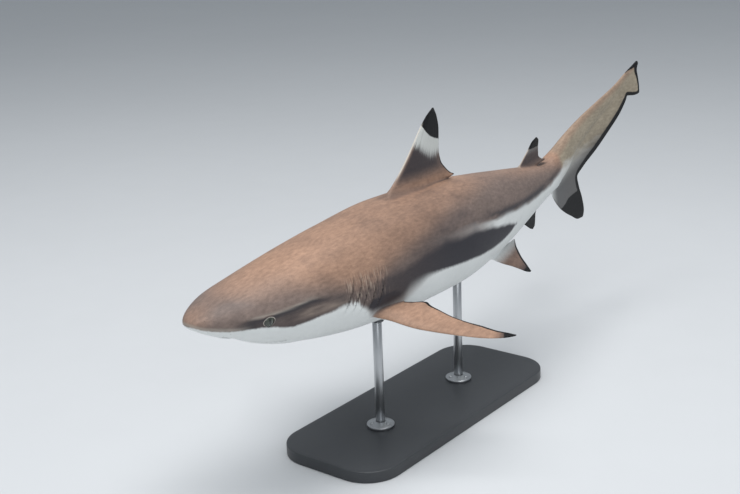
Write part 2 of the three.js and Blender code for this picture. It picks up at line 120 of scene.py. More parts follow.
# Round an opening, how near the skin's own points may be, as a share of its side or of LONG_SIDE.
CLEARANCE = 0.45
LONG_SIDE = 3.5
MARGIN_SAMPLES, ARC_SAMPLES = 320, 400  # along the tail's lower margin, and round a patch of the body
TAIL_SMOOTHING = 4  # passes that even out the line where the muscle ends

# -------------------- sizes of the head, in millimetres

EYE = {"s": 99, "y": 53, "z": -1, "radius": 14}
EYE_OPENING = {"s": 97.8, "z": -1.5, "length": 9.2, "height": 6.4}  # middle, half length and half height
# The lid, from its foot on the skin to behind the ball: share of the opening, height above the skin, and how
# strong its painted highlight and its painted shade are there.
LID = [
    (1.44, 0, 0, 0), (1.3, 0.2, 0, 0.15), (1.18, 0.7, 0.08, 0.1), (1.09, 1, 0.75, 0), (1.02, 0.85, 0.95, 0),
    (0.97, 0.25, 0.4, 0.5), (0.96, -1, 0, 1), (1, -4, 0, 1), (1.08, -9, 0, 1),
]
LID_POINTS = 52
LID_BACK = 3  # how far inside the ball's middle its last ring closes

# The brow ridge over the eye and the hollow cheek under it, s and z.
BROW = [(10, 2), (30, 0), (54, 4), (75, 7), (110, 6.3), (135, 6.8), (160, 9), (185, 11.5), (215, 13)]
BROW_REACH = (38, 72, 168, 222)  # s where it sets in, is full, starts to fade and is gone
HEAD_SIDE = 20  # |y| beyond which the head has its brow and its gills
BROW_RISE = 2.0
CHEEK_HOLLOW = 3.2

MOUTH = {"front": 75, "corner": 141, "half_width": 51, "power": 2.3, "gape": 0.55, "depth": 5, "points": 120}
LOWER_JAW_SWELL = 2.2
JAW_ALONG = (0.5, 9, 25, 80)  # how far behind the mouth's line the swell sets in, is full, fades and is gone
UPPER_LIP_SWELL = 0.8
MOUTH_GROOVE = 1.3

NOSTRIL = {"s": 42, "y": 30, "length": 7.5, "width": 2.1, "turn": 38, "curve": 0.03, "shift": 0.6,
           "depth": 6.5, "rim": 1, "dip": 0.8}
NOSTRIL_POINTS = 28
# Going in: share of the opening, depth under the skin, and how strong its painted shade is. SLIT_RINGS says
# the same of gill slits and mouth, with shares of their depth.
NOSTRIL_RINGS = [(1, 0, 0.15), (0.9, 0.9, 0.7), (0.8, 2.6, 1), (0.5, 6, 1)]
SLIT_RINGS = [(1, 0, 0.3), (0.85, 0.12, 0.6), (0.55, 0.5, 1), (0.2, 1, 1)]
LEAST_GAPE = 0.02

GILLS = {"count": 5, "first": 260, "pitch": 15.5, "top": 20, "drop": 4.5, "height": 42, "lean": 20,
         "bend": 1.6, "gape": 0.75, "depth": 5.5, "forward": 0.7, "points": 26}
GILL_FLAP = 1.7  # how far each flap swells in front of its slit
GILL_STEP = 1.5  # how far the skin drops behind it
FLAP_ALONG = (-0.85 * GILLS["pitch"], -1.2, -1.4, 0.2)  # where the flap sets in, is full, fades and is gone
STEP_ALONG = (-0.6, 0.4, 0.4, 6.5)  # and the drop, both counted back from the slit
GILL_REACH = (-0.22, 0.12, 0.9, 1.22)  # and both, down the slit as a share of its height

EYE_ROWS, EYE_COLUMNS = 40, 56
CORNEA_BULGE = 0.5
CORNEA_WIDTH = 0.55  # its half width, in radians of the ball
PUPIL = {"width": 0.11, "height": 0.4}  # half sizes, against the ball's radius

PRECAUDAL_PIT = {"s": 1008, "width": 5, "depth": 2.2, "half_across": 9, "share_below": 0.45}
RELIEF_START = (1, 14)  # s where the relief of the skin sets in, so that the snout's tip stays round

# -------------------- sizes of the fins, in millimetres

# lead and trail give the chord position of each edge against the span. A fin stands on its place: where
# its root starts, the way its chord runs, and its droop in degrees below level. root and tip are half
# thicknesses, and fillet is the size of the hollow at its root, in front and behind.
FINS = {
    "first_dorsal_fin": {
        "lead": [(78, 412), (98, 434), (128, 469), (160, 501), (195, 532), (214, 553), (224, 571)],
        "trail": [(78, 588), (90, 598), (93, 622), (95, 635), (101, 623), (112, 608), (128, 593), (150, 587),
                  (185, 588), (208, 583), (224, 574)],
        "root": 9.5, "tip": 1.3, "up": 1, "fillet": (17, 2.4), "around": 30, "rings": 56,
    },
    "second_dorsal_fin": {
        "lead": [(30, 868), (46, 884), (62, 908), (78, 933), (90, 950), (95, 967)],
        "trail": [(30, 962), (38, 972), (41, 1000), (43, 1008), (48, 990), (58, 977), (75, 976), (88, 978),
                  (95, 971)],
        "root": 5, "tip": 1, "up": 1, "fillet": (6, 1.4), "around": 22, "rings": 36,
    },
    "anal_fin": {
        "lead": [(30, 858), (50, 880), (66, 906), (80, 930), (88, 944), (91, 952)],
        "trail": [(30, 934), (41, 944), (44, 978), (46, 988), (52, 974), (62, 966), (76, 965), (86, 963),
                  (91, 956)],
        "root": 5, "tip": 1, "up": -1, "fillet": (6, 1.4), "around": 22, "rings": 34,
    },
    "pectoral_fin": {
        "at": (304.6, -73, -54), "chord": (0.99, -0.11, 0.09), "droop": 24,
        "lead": [(-40, -12), (0, 0), (21, 17), (54, 38), (80, 62), (105, 88), (130, 117), (145, 140),
                 (153, 157), (156, 167)],
        "trail": [(-40, 64), (0, 68), (10, 80), (19, 97), (24, 101), (30, 100), (49, 105), (68, 111),
                  (92, 124), (110, 137), (131, 150), (146, 163), (156, 171)],
        "root": 10, "tip": 1.2, "fillet": (7, 2.2), "around": 30, "rings": 60,
    },
    "pelvic_fin": {
        "at": (684, -49, -68), "chord": (0.985, 0.16, 0.05), "droop": 40,
        "lead": [(-25, -12), (0, -4), (10, 2), (22, 12), (36, 27), (50, 39), (62, 49), (68, 58)],
        "trail": [(-25, 60), (0, 68), (3, 90), (5, 116), (9, 110), (17, 98), (26, 89), (39, 78), (53, 71),
                  (68, 63)],
        "root": 6, "tip": 1, "fillet": (5, 1.4), "around": 22, "rings": 34,
    },
}
FIN_EDGE = 0.55  # half thickness of every trailing edge
FIN_WIDEST = 0.32  # where a fin's section is thickest, as a share of its chord
FIN_TAPER = 1.4  # power of its thinning towards the trailing edge
SPAN_TAPER = 0.8  # and towards the tip
FIN_BUNCHING = 1.35  # power that draws a fin's rings together at its root
FILLET_FADE = 0.7  # power of the fillet's change from front to rear
FILLET_STEPS = (0.2, 0.42, 0.66, 0.86)
SPAN_SAMPLES, HALVINGS = 240, 24  # to find where a fin leaves the body

# -------------------- markings, in millimetres

# The dusky band from the cheek along the flank, s and z of its upper border, and the border of the white
# underside below it.
DUSK_TOP = [(10, 2), (30, 0), (54, 5), (75, 7.2), (100, 6.3), (120, 6.2), (140, 7), (160, 9), (176, 10.5),
            (190, 9), (205, 7), (230, 5), (262, 2), (300, 4), (345, 7), (402, 13), (440, 20), (480, 25),
            (520, 20), (560, 15), (600, 11), (640, 5), (664, 1), (700, -6), (718, -10), (746, -19)]
WHITE_TOP = [(0, 6), (12, 1), (30, -2), (50, -5), (90, -8.5), (105, -12), (122, -17), (145, -20.5),
             (170, -20), (190, -18), (215, -17), (238, -14), (258, -16), (270, -24), (284, -34),
             (300, -48), (330, -52), (360, -50), (385, -33), (408, -25), (432, -20), (465, -21),
             (526, -26), (592, -31), (640, -33),
             (675, -32), (718, -27), (746, -20), (800, -19), (1026, -19), (1040, -34), (1062, -150)]
# Painted shade darkens the band most just under the overhanging brow.
CHEEK_SHADE = (66, 100, 200, 250)  # s where the band is darkest under the brow: from, full, fading and gone
# Painted highlights along the brow's edge and along the snout's lip.
BROW_HIGHLIGHT = (58, 84, 165, 200)  # and where the brow has its light edge
LIP_HIGHLIGHT = (78, 45)  # s where the snout's lighter lip sets in, and where it is full
EDGE_HIGHLIGHT = 0.34
# How dark the band is, how softly it starts at its upper border, and how softly the white starts, against s.
DUSK_DEPTH = [(38, 0), (74, 0.85), (182, 0.9), (205, 0.66), (240, 0.5), (262, 0.3), (300, 0.36), (335, 0.74),
              (430, 0.9), (520, 1), (750, 1), (800, 0)]
DUSK_SOFTNESS = [(40, 8), (82, 2.2), (176, 2.4), (196, 6), (230, 10), (300, 13), (400, 13), (470, 17),
                 (560, 9), (620, 6), (740, 5)]
WHITE_SOFTNESS = [(0, 1.6), (60, 2), (200, 3), (240, 5), (285, 8), (305, 16), (345, 22), (375, 24), (405, 17),
                  (440, 7), (490, 3.5), (1000, 3.5), (1040, 12)]
# Painted shade in the corner over the root of the pectoral fin: s, z, half length and half height.
ARMPIT_SHADE = (326, -31, 38, 12)
# A streak of light over the dusky cheek, and painted shade over the sides of the snout, likewise.
CHEEK_STREAK = (186, -7, 44, 4.5)
SNOUT_SHADE = (46, 24, 30, 16)
# The upright folds over the gills: s and z where they set in, are full, fade and are gone.
FOLDS_ALONG = (232, 252, 318, 346)
FOLDS_UP = (-32, -20, 16, 32)
# Painted shadow in the slits under the free rear tips of the two fins of the back, s likewise.
FIN_NOTCH_SHADOWS = [(584, 593, 611, 624), (964, 974, 1000, 1012)]
# Where the tan turns greyer down the sides, partly painted shade: the height at which it starts, over
# LOW_FALL.
LOW_START = [(0, 34), (60, 58), (130, 62), (200, 50), (240, 38), (280, 30), (310, 32), (350, 48), (430, 68),
             (560, 96), (700, 102), (850, 78), (1030, 54)]
LOW_FALL = 44
# The upper border of the pale flank band, how strong it is, and the dark fringe above it.
PALE_TOP = [(430, 34), (500, 33), (560, 29), (600, 25), (640, 20), (680, 16), (720, 12), (760, 8), (800, 5),
            (840, 3), (880, 2), (920, 2), (960, 4), (1000, 8), (1030, 13), (1066, 22), (1182, 32), (1240, 36)]
PALE_STRENGTH = [(440, 0), (510, 0.1), (560, 0.22), (600, 0.38), (640, 0.8), (672, 1), (980, 1), (1050, 0.8),
                 (1110, 0.6), (1200, 0.5)]
FRINGE_STRENGTH = [(560, 0), (620, 0.4), (660, 0.85), (880, 0.95), (960, 0.8), (1010, 0.5), (1040, 0)]
# How wide the black edge of the tail fin is at each point of VENTRAL_MARGIN.
TAIL_BLACK_EDGE = [0, 0, 0, 6, 12, 14, 13, 11, 10, 11, 13, 14.5, 14.5, 14, 12, 9, 7.5, 7, 6, 7, 11, 16]
LOWER_LOBE_BLACK = [(1060, -86), (1080, -79.5), (1097, -72), (1111, -63), (1140, -57), (1180, -50)]
TAIL_ONSET = (0, 70)  # along the lower margin, where the body's colour gives way to the tail's
TAIL_RAY = 4  # spacing of its rays along the lower margin
# The dusk of the lower lobe: where it sets in along the margin and is full, the slope of its upper border,
# how far below that it is full, and how dark it is.
LOWER_LOBE = {"onset": (4, 60), "slope": 0.35, "depth": 50, "dusk": 0.8}
TAIL_TIP_BLACK = (1338, 1386, 9)  # s where it starts on the upper edge, where it is full, and how deep
FIRST_DORSAL_BLACK = [(528, 208), (536, 200), (547, 187), (560, 177.5), (577, 171), (595, 166.5), (604, 165)]
# The lower border of the white under it.
FIRST_DORSAL_WHITE = [(500, 176), (520, 165), (535, 155), (550, 147), (570, 142), (590, 145)]
SECOND_DORSAL_BLACK = 77  # height where it begins
ANAL_BLACK = 50
PECTORAL_BLACK = {"chord": 155, "span": 143, "lean": (0.65, 0.76)}
PELVIC_BLACK = 57
FIN_RAYS = 46

# -------------------- sizes of the stand, and the camera

BASE = {"length": 560, "width": 220, "thickness": 20, "corner": 62}
ROD_RADIUS = 8
ROD_PLAY = 0.15  # between a rod and its collar or saddle
COLLAR = {"radius": 24, "height": 10}
SADDLE = {"radius": 19, "foot": -16, "shoulder": -3}
SCREWS = {"count": 3, "circle": 16.5, "first_angle": 0.5, "sides": 24}
TURNED_SIDES = 64

CAMERA = {"place": (-1.6029, -1.1612, 0.9238), "lens": 58.378, "azimuth": 308.28, "elevation": 17.16,
          "roll": -2.18}

# -------------------- small mathematics


def mix(a, b, t):
    return a + (b - a) * t


def smoothstep(t):
    u = np.clip(t, 0, 1)
    return u * u * (3 - 2 * u)


def ramp(x, start, end):
    return smoothstep((x - start) / (end - start))


def stretch(x, sets_in, full, fades, gone):
    """1 from full to fades, and smoothly down to 0 at sets_in and gone."""
    return ramp(x, sets_in, full) * ramp(x, gone, fades)


def hump(x, width):
    return np.exp(-((x / width) ** 2))


def full_turn(count):
    """count angles, evenly round a full turn."""
    return 2 * math.pi * np.arange(count) / count


def curve_through(points):
    """The smooth curve y(x) through points (x, y), which never overshoots them."""
    x, y = np.array(points, float).T
    rise = np.diff(y) / np.diff(x)
    before, after = np.r_[rise[0], rise], np.r_[rise, rise[-1]]
    same_way = before * after > 0
    slope = np.zeros_like(x)
    slope[same_way] = 2 * before[same_way] * after[same_way] / (before + after)[same_way]

    def at(t):
        t = np.clip(t, x[0], x[-1])
        i = np.clip(np.searchsorted(x, t, side="right") - 1, 0, len(x) - 2)
        width = x[i + 1] - x[i]
        u = (t - x[i]) / width
        v = 1 - u
        ends = y[i] * v * v * (1 + 2 * u) + y[i + 1] * u * u * (3 - 2 * u)
        return ends + width * u * v * (slope[i] * v - slope[i + 1] * u)

    return at


def column(rows, index):
    return curve_through([(row[0], row[index]) for row in rows])


def unit(v):
    return v / np.linalg.norm(v, axis=-1, keepdims=True)


# -------------------- the pose

spine_s = np.arange(-SPINE_STEP, SPINE_END + 1, SPINE_STEP)
spine_heading = math.radians(FIRST_HEADING) + sum(
    math.radians(degrees) * smoothstep((spine_s - start) / length) for start, length, degrees in TURNS
)
spine_x = np.r_[0, np.cumsum(SPINE_STEP * np.cos(spine_heading))][:-1]
spine_y = np.r_[0, np.cumsum(SPINE_STEP * np.sin(spine_heading))][:-1]
stand_centre = [
    np.mean([np.interp(s, spine_s, table) for s in ROD_STATIONS.values()]) for table in (spine_x, spine_y)
]


def swim(points):
    """Points of the straight fish, in millimetres, in their place over the stand, in metres."""
    s, y, z = np.asarray(points, float).T
    heading = np.interp(s, spine_s, spine_heading)
    x = np.interp(s, spine_s, spine_x) - stand_centre[0] - y * np.sin(heading)
    across = np.interp(s, spine_s, spine_y) - stand_centre[1] + y * np.cos(heading)
    return np.stack([x, across, z + BACKBONE_HEIGHT], 1) * MM


# -------------------- body surface

top_of, bottom_of, half_width_of = (column(BODY, i) for i in (1, 2, 3))


def rounding(s, length, power):
    """0 at the snout tip, rising to 1 where the snout's rounding ends."""
    t = np.clip(1 - s / length, 0, 1)
    return (1 - t**power) ** (1 / power)


def body_station(s):
    """Top, bottom and half width of the body at station s."""
    deep = rounding(s, *SNOUT_DEPTH_ROUNDING)
    wide = rounding(s, *SNOUT_WIDTH_ROUNDING)
    return (
        mix(SNOUT_TIP_Z, top_of(s), deep),
        mix(SNOUT_TIP_Z, bottom_of(s), deep),
        half_width_of(s) * wide,
    )


def reach_from_widest(share):
    """How far a share of the depth is from the widest line: 0 on it and 1 at the top and the bottom."""
    return np.where(share < 1 - WIDEST, 1 - share / (1 - WIDEST), (share - (1 - WIDEST)) / WIDEST)


def section_point(upper, lower, half, depth, web, turn):
    """A point of a section: turn runs from 0 at its upper end, down the left side, to 2 pi."""
    rise, sway = np.cos(turn), np.sin(turn)
    above = np.where(rise > 0, 1 - WIDEST, WIDEST)
    share = 1 - WIDEST - above * np.sign(rise) * np.abs(rise) ** (2 / SECTION_POWER)
    length = np.hypot(lower[0] - upper[0], lower[1] - upper[1])
    muscle = np.minimum(1, share * length / depth)
    bulge = (1 - np.clip(reach_from_widest(muscle), 0, 1) ** SECTION_POWER) ** (1 / SECTION_POWER)
    muscle_half, web_half = half * bulge, web * np.minimum(1, np.abs(sway) * WEB_RIM)
    rounded = np.sqrt((muscle_half - web_half) ** 2 + (WEB_BLEND * web_half) ** 2) - WEB_BLEND * web_half / 2
    thick = (muscle_half + web_half + rounded) / 2
    side = -np.where(np.abs(sway) < 1e-9, 0, np.sign(sway))
    return np.stack([mix(upper[0], lower[0], share), side * thick, mix(upper[1], lower[1], share)], -1)


def body_point(s, turn):
    """The point of the smooth body, without relief."""
    s, turn = np.broadcast_arrays(np.asarray(s, float), np.asarray(turn, float))
    top, bottom, half = body_station(s)
    return section_point((s, top), (s, bottom), half, top - bottom, 0, turn)


def body_normal(s, turn):
    along, around = NORMAL_STEPS
    before, after = body_point(np.maximum(s - along, 0.01), turn), body_point(s + along, turn)
    left, right = body_point(s, turn - around), body_point(s, turn + around)
    return unit(np.cross(right - left, after - before))


def turn_at_height(s, z):
    """The turn, on the left side, of the skin's point at height z."""
    top, bottom, _ = body_station(s)
    share = np.clip((top - z) / (top - bottom), 0, 1)
    over = np.clip((1 - WIDEST - share) / (1 - WIDEST), 0, 1) ** (SECTION_POWER / 2)
    under = np.clip((share - 1 + WIDEST) / WIDEST, 0, 1) ** (SECTION_POWER / 2)
    return np.arccos(over - under)


def turn_at_width(s, y, below):
    """The turn, on the left side, of the skin's point at |y| from the middle, above or below the widest."""
    half = body_station(s)[2]
    angle = np.arcsin(np.clip(np.abs(y) / half, 0, 1) ** (SECTION_POWER / 2))
    return np.where(below, math.pi - angle, angle)


def turn_of(points, under):
    """The turn of points that lie on the skin, continuous across the back, or across the belly if under."""
    s, y, z = points.T
    top, bottom, half = body_station(s)
    below = z < mix(bottom, top, WIDEST)
    flat = np.abs(y) < 0.75 * half
    turn = np.where(flat, turn_at_width(s, y, below), turn_at_height(s, z))
    return np.where(y <= 0, turn, (2 * math.pi - turn) if under else -turn)


def outside(points):
    """Above 0 where a point is outside the body, below 0 inside."""
    s, y, z = np.moveaxis(points, -1, 0)
    top, bottom, half = body_station(s)
    reach = reach_from_widest((top - z) / (top - bottom))
    return np.abs(reach) ** SECTION_POWER + np.abs(y / half) ** SECTION_POWER - 1


# -------------------- relief of the skin


def gill_slit(index, down):
    """s and z of a point of a gill slit, down from 0 at its upper end to 1."""
    g = GILLS
    s = g["first"] + g["pitch"] * index - g["lean"] * np.clip(down, 0, 2) ** g["bend"]
    return s, g["top"] - g["drop"] * index - g["height"] * down


def mouth_front(y):
    """s of the mouth line at y from the middle."""
    m = MOUTH
    return m["front"] + (m["corner"] - m["front"]) * np.abs(y / m["half_width"]) ** m["power"]


brow_height = curve_through(BROW)


def brow_relief(s, y, z):
    """The brow ridge and the hollow cheek under it, shallower round the eye."""
    strength = stretch(s, *BROW_REACH) * (np.abs(y) > HEAD_SIDE)
    up = z - brow_height(s)
    near_eye = hump(s - EYE["s"], 20) * hump(z - EYE["z"], 13)
    ridge = BROW_RISE * hump(up - 2.5, 7)
    hollow = CHEEK_HOLLOW * hump(up + 10, 9) * (1 - 0.75 * near_eye)
    return strength * (ridge - hollow)


def gill_relief(s, y, z):
    """Each gill flap swells towards its slit, and the skin drops behind it."""
    g = GILLS
    total = np.zeros_like(s)
    for i in range(g["count"]):
        down = (g["top"] - g["drop"] * i - z) / g["height"]
        behind = s - gill_slit(i, down)[0]
        flap = GILL_FLAP * stretch(behind, *FLAP_ALONG)
        drop = GILL_STEP * stretch(behind, *STEP_ALONG)
        total += stretch(down, *GILL_REACH) * (np.abs(y) > HEAD_SIDE) * (flap - drop)
    return total


def mouth_relief(s, y, z):
    """The groove of the lips and the swell of the lower jaw behind it, on the underside."""
    m = MOUTH
    under = ramp(-z, 2, 16) * (1 - ramp(s, m["corner"] + 8, m["corner"] + 55))
    behind = s - mouth_front(np.clip(y, -m["half_width"], m["half_width"]))
    inside = 1 - ramp(np.abs(y), m["half_width"] - 8, m["half_width"] + 6)
    groove = MOUTH_GROOVE * hump(behind, 3.2) * inside
    lower = LOWER_JAW_SWELL * stretch(behind, *JAW_ALONG) * inside
    upper_lip = UPPER_LIP_SWELL * hump(behind + 6, 4) * inside
    return under * (lower + upper_lip - groove)


def nostril_relief(s, y, z):
    """A low rim round each nostril and a dip within it."""
    away = np.hypot(s - NOSTRIL["s"], np.abs(y) - NOSTRIL["y"])
    return (z < 0) * (NOSTRIL["rim"] * hump(away - 7, 3.5) - NOSTRIL["dip"] * hump(away, 4))


def tail_root_relief(s, y, z):
    """The little pit across the back in front of the tail fin, and a shallower one below."""
    p = PRECAUDAL_PIT
    share = np.where(z > 0, 1, p["share_below"])
    return -p["depth"] * hump(s - p["s"], p["width"]) * share * hump(y, p["half_across"])


def relief(point):
    """How far the skin stands out from the smooth body at a point of it."""
    s, y, z = np.moveaxis(point, -1, 0)
    parts = (brow_relief, gill_relief, mouth_relief, nostril_relief, tail_root_relief)
    return sum(part(s, y, z) for part in parts) * ramp(s, *RELIEF_START)


def skin_point(s, turn):
    point = body_point(s, turn)
    return point + body_normal(s, turn) * relief(point)[..., None]


# -------------------- tail surface

dorsal_margin = curve_through(DORSAL_MARGIN)
column_half, column_depth = column(TAIL_COLUMN, 1), column(TAIL_COLUMN, 2)
ventral = np.array(VENTRAL_MARGIN, float)
ventral_run = np.r_[0, np.cumsum(np.hypot(*np.diff(ventral[:, :2], axis=0).T))]
lower_s_at, lower_z_at, upper_s_at = (
    curve_through(list(zip(ventral_run, ventral[:, i]))) for i in range(3)
)


def tail_point(run, turn):
    """A point of the tail section whose lower end is run along the lower margin."""
    upper_s = upper_s_at(run)
    upper = (upper_s, dorsal_margin(upper_s))
    lower = (lower_s_at(run), lower_z_at(run))
    length = np.hypot(lower[0] - upper[0], lower[1] - upper[1])
    depth = np.minimum(length, column_depth(upper_s))
    web = smoothstep((upper_s - TAIL_START) / WEB_GROWTH) * TAIL_WEB
    return section_point(upper, lower, column_half(upper_s), depth, web, turn)


# -------------------- the skin as a mesh

# What each vertex knows for its colour. white, dusk, pale and black are distances in millimetres, above 0
# inside the marking, and soft and melt are how soft the dusk's and the white's borders are. ray counts the
# rays of a fin. The others are strengths from 0 to 1; rim holds painted highlights, crease painted shade.
MARKS = (
    "white", "melt", "dusk", "soft", "deep", "pale", "fade", "fringe", "low", "sand", "gill", "streak",
    "black", "bright", "crease", "rim", "fin", "ray",
)


def quads(ring, following):
    """Quads between two closed rings of vertices."""
    return np.stack([ring, np.roll(ring, -1), np.roll(following, -1), following], 1).tolist()


def fan(ring, point):
    """Triangles from a closed ring of vertices to one more."""
    return np.stack([ring, np.roll(ring, -1), np.full(len(ring), point)], 1).tolist()


class Skin:
    """A mesh in the making: points of the straight fish, their marks, and the faces between them."""

    def __init__(self):
        self.points, self.marks, self.faces, self.size = [], [], [], 0

    def add(self, points, **marks):
        """Adds points with their marks, and returns the numbers they got."""
        points = np.asarray(points, float).reshape(-1, 3)
        table = np.zeros((len(points), len(MARKS)))
        for name, values in marks.items():
            table[:, MARKS.index(name)] = values
        self.points.append(points)
        self.marks.append(table)
        self.size += len(points)
        return np.arange(self.size - len(points), self.size)

    def tunnel(self, sections):
        """Closed rings of points and their marks, with quads between them. Returns the first and the last."""
        rings = [self.add(points, **marks) for points, marks in sections]
        for ring, following in zip(rings, rings[1:]):
            self.faces += quads(ring, following)
        return rings[0], rings[-1]

    def cap(self, ring, point, **marks):
        """Closes a ring with a fan round one more point."""
        self.faces += fan(ring, self.add([point], **marks)[0])

    def zip(self, ring):
        """Closes a long narrow ring whose halves face each other; its first and middle point are its ends."""
        half = len(ring) // 2
        near, far = ring[: half + 1], np.r_[ring[half:], ring[:1]][::-1]
        for a, b, c, d in zip(near, near[1:], far[1:], far):
            self.faces.append([v for v, keep in ((a, a != d), (b, True), (c, c != b), (d, True)) if keep])


OFF = -30.0  # the distance of a marking that isn't there

dusk_top, white_top, pale_top = (curve_through(rows) for rows in (DUSK_TOP, WHITE_TOP, PALE_TOP))
dusk_depth, dusk_softness = curve_through(DUSK_DEPTH), curve_through(DUSK_SOFTNESS)
white_softness, low_start = curve_through(WHITE_SOFTNESS), curve_through(LOW_START)
pale_strength, fringe_strength = curve_through(PALE_STRENGTH), curve_through(FRINGE_STRENGTH)


def patch(s, z, place):
    """1 in the middle of a soft oval patch, and 0 well outside it."""
    return hump(s - place[0], place[2]) * hump(z - place[1], place[3])


def painted_edge_highlight(s, z):
    """Painted highlights along the edge of the brow and along the lip of the snout."""
    brow = hump(z - dusk_top(s) - 2.6, 2.1) * stretch(s, *BROW_HIGHLIGHT)
    lip = hump(z - white_top(s) - 2.5, 2.6) * ramp(s, *LIP_HIGHLIGHT)
    return EDGE_HIGHLIGHT * (brow + lip)


def fin_notch_shadow(s, y, z):
    """Painted shadow in the slits under the free rear tips of the two fins of the back."""
    along = sum(stretch(s, *notch) for notch in FIN_NOTCH_SHADOWS)
    return 0.9 * along * hump(np.abs(y) - 2.5, 3.5) * (z > 0)


def body_marks(point):
    """The markings of the body at points of its skin, with painted highlights and painted shade."""
    s, y, z = np.asarray(point, float).reshape(-1, 3).T
    pale = pale_top(s) - z
    dusk = np.where(s < DUSK_TOP[-1][0] + 8, dusk_top(s) - z, OFF)
    # The band is painted darkest just under the brow, as painted shade.
    cheek = 1 - 0.36 * stretch(s, *CHEEK_SHADE) * ramp(dusk, 2.5, 8)
    # Painted shade in the corner over the root of the pectoral fin deepens the band there.
    armpit_shade = patch(s, z, ARMPIT_SHADE)
    return {
        "white": white_top(s) - z,
        "melt": white_softness(s),
        "dusk": np.maximum(dusk, 24 * (armpit_shade - 0.2)),
        "soft": mix(dusk_softness(s), 8, armpit_shade),
        "deep": np.maximum(dusk_depth(s) * cheek, 0.95 * smoothstep(2 * armpit_shade)),
        "pale": pale,
        "fade": pale_strength(s),
        "fringe": fringe_strength(s) * hump(pale + 5.5, 6.5),
        # low: the greyer flank, and painted shade down the sides of the head and body and over the snout's
        # sides.
        "low": np.clip(ramp(low_start(s) - z, 0, LOW_FALL) + 0.45 * patch(s, z, SNOUT_SHADE), 0, 1),
        "rim": painted_edge_highlight(s, z),
        "crease": fin_notch_shadow(s, y, z),
        "gill": stretch(s, *FOLDS_ALONG) * stretch(z, *FOLDS_UP),
        "streak": patch(s, z, CHEEK_STREAK),
        "black": np.full(len(s), OFF),
    }


def tail_marks(point, run):
    """The markings of the tail fin: a black edge, a black lower tip, and rays in the thin part."""
    flat = point.reshape(-1, 3)
    run = np.broadcast_to(run, point.shape[:-1]).ravel()
    fine = np.linspace(0, ventral_run[-1], MARGIN_SAMPLES)
    margin = np.stack([lower_s_at(fine), lower_z_at(fine)], 1)
    away = np.linalg.norm(flat[:, None, [0, 2]] - margin, axis=-1)
    nearest = away.argmin(1)
    edge = curve_through(list(zip(ventral_run, TAIL_BLACK_EDGE)))(fine)[nearest] - away.min(1)
    tip = curve_through(LOWER_LOBE_BLACK)(flat[:, 0]) - flat[:, 2]
    tip = np.where(flat[:, 0] < LOWER_LOBE_BLACK[-1][0], tip, OFF)
    upper_s = upper_s_at(run)
    depth = np.hypot(upper_s - flat[:, 0], dorsal_margin(upper_s) - flat[:, 2])
    starts, full, deep = TAIL_TIP_BLACK
    top = np.where(upper_s > starts, deep * ramp(upper_s, starts, full) - depth, OFF)
    thin = ramp(depth, 0.75 * column_depth(upper_s), 1.15 * column_depth(upper_s))
    black = np.maximum.reduce([edge, tip, top])
    marks = body_marks(point)
    onward = ramp(run, *TAIL_ONSET)
    under = flat[:, 2] - LOWER_LOBE["slope"] * (flat[:, 0] - TAIL_START)
    lobe = ramp(run, *LOWER_LOBE["onset"]) * ramp(under, 0, -LOWER_LOBE["depth"])
    marks |= {
        "black": black, "fin": thin, "ray": run / TAIL_RAY, "low": mix(marks["low"], 0.3, onward),
        "sand": onward * mix(0.35, 1, ramp(depth, 3, 18)), "pale": marks["pale"] * mix(1, 0.3, onward),
        "dusk": 20, "soft": 8, "deep": LOWER_LOBE["dusk"] * lobe,
    }
    return marks


def arc_length(s, turns):
    """Distance round the body at station s for each turn, to lay a patch out flat."""
    fine = np.linspace(turns.min(), turns.max(), ARC_SAMPLES)
    points = body_point(s, fine)
    run = np.r_[0, np.cumsum(np.linalg.norm(np.diff(points, axis=0), axis=1))]
    return lambda turn: np.interp(turn, fine, run)


def within(points, outline):
    """Which points lie inside a closed outline, in the plane."""
    x, y = points[:, :1], points[:, 1:]
    ax, ay = outline.T
    bx, by = np.roll(outline, -1, axis=0).T
    crosses = (ay > y) != (by > y)
    rise = np.where(by == ay, 1, by - ay)
    return (crosses & (x < (bx - ax) * (y - ay) / rise + ax)).sum(1) % 2 == 1


def distance_to(points, outline):
    """How far each point is from a closed outline, in the plane."""
    a, b = outline, np.roll(outline, -1, axis=0)
    along = b - a
    share = ((points[:, None] - a) * along).sum(-1) / np.maximum((along**2).sum(-1), 1e-9)
    nearest = a + np.clip(share, 0, 1)[..., None] * along
    return np.linalg.norm(points[:, None] - nearest, axis=-1).min(1)


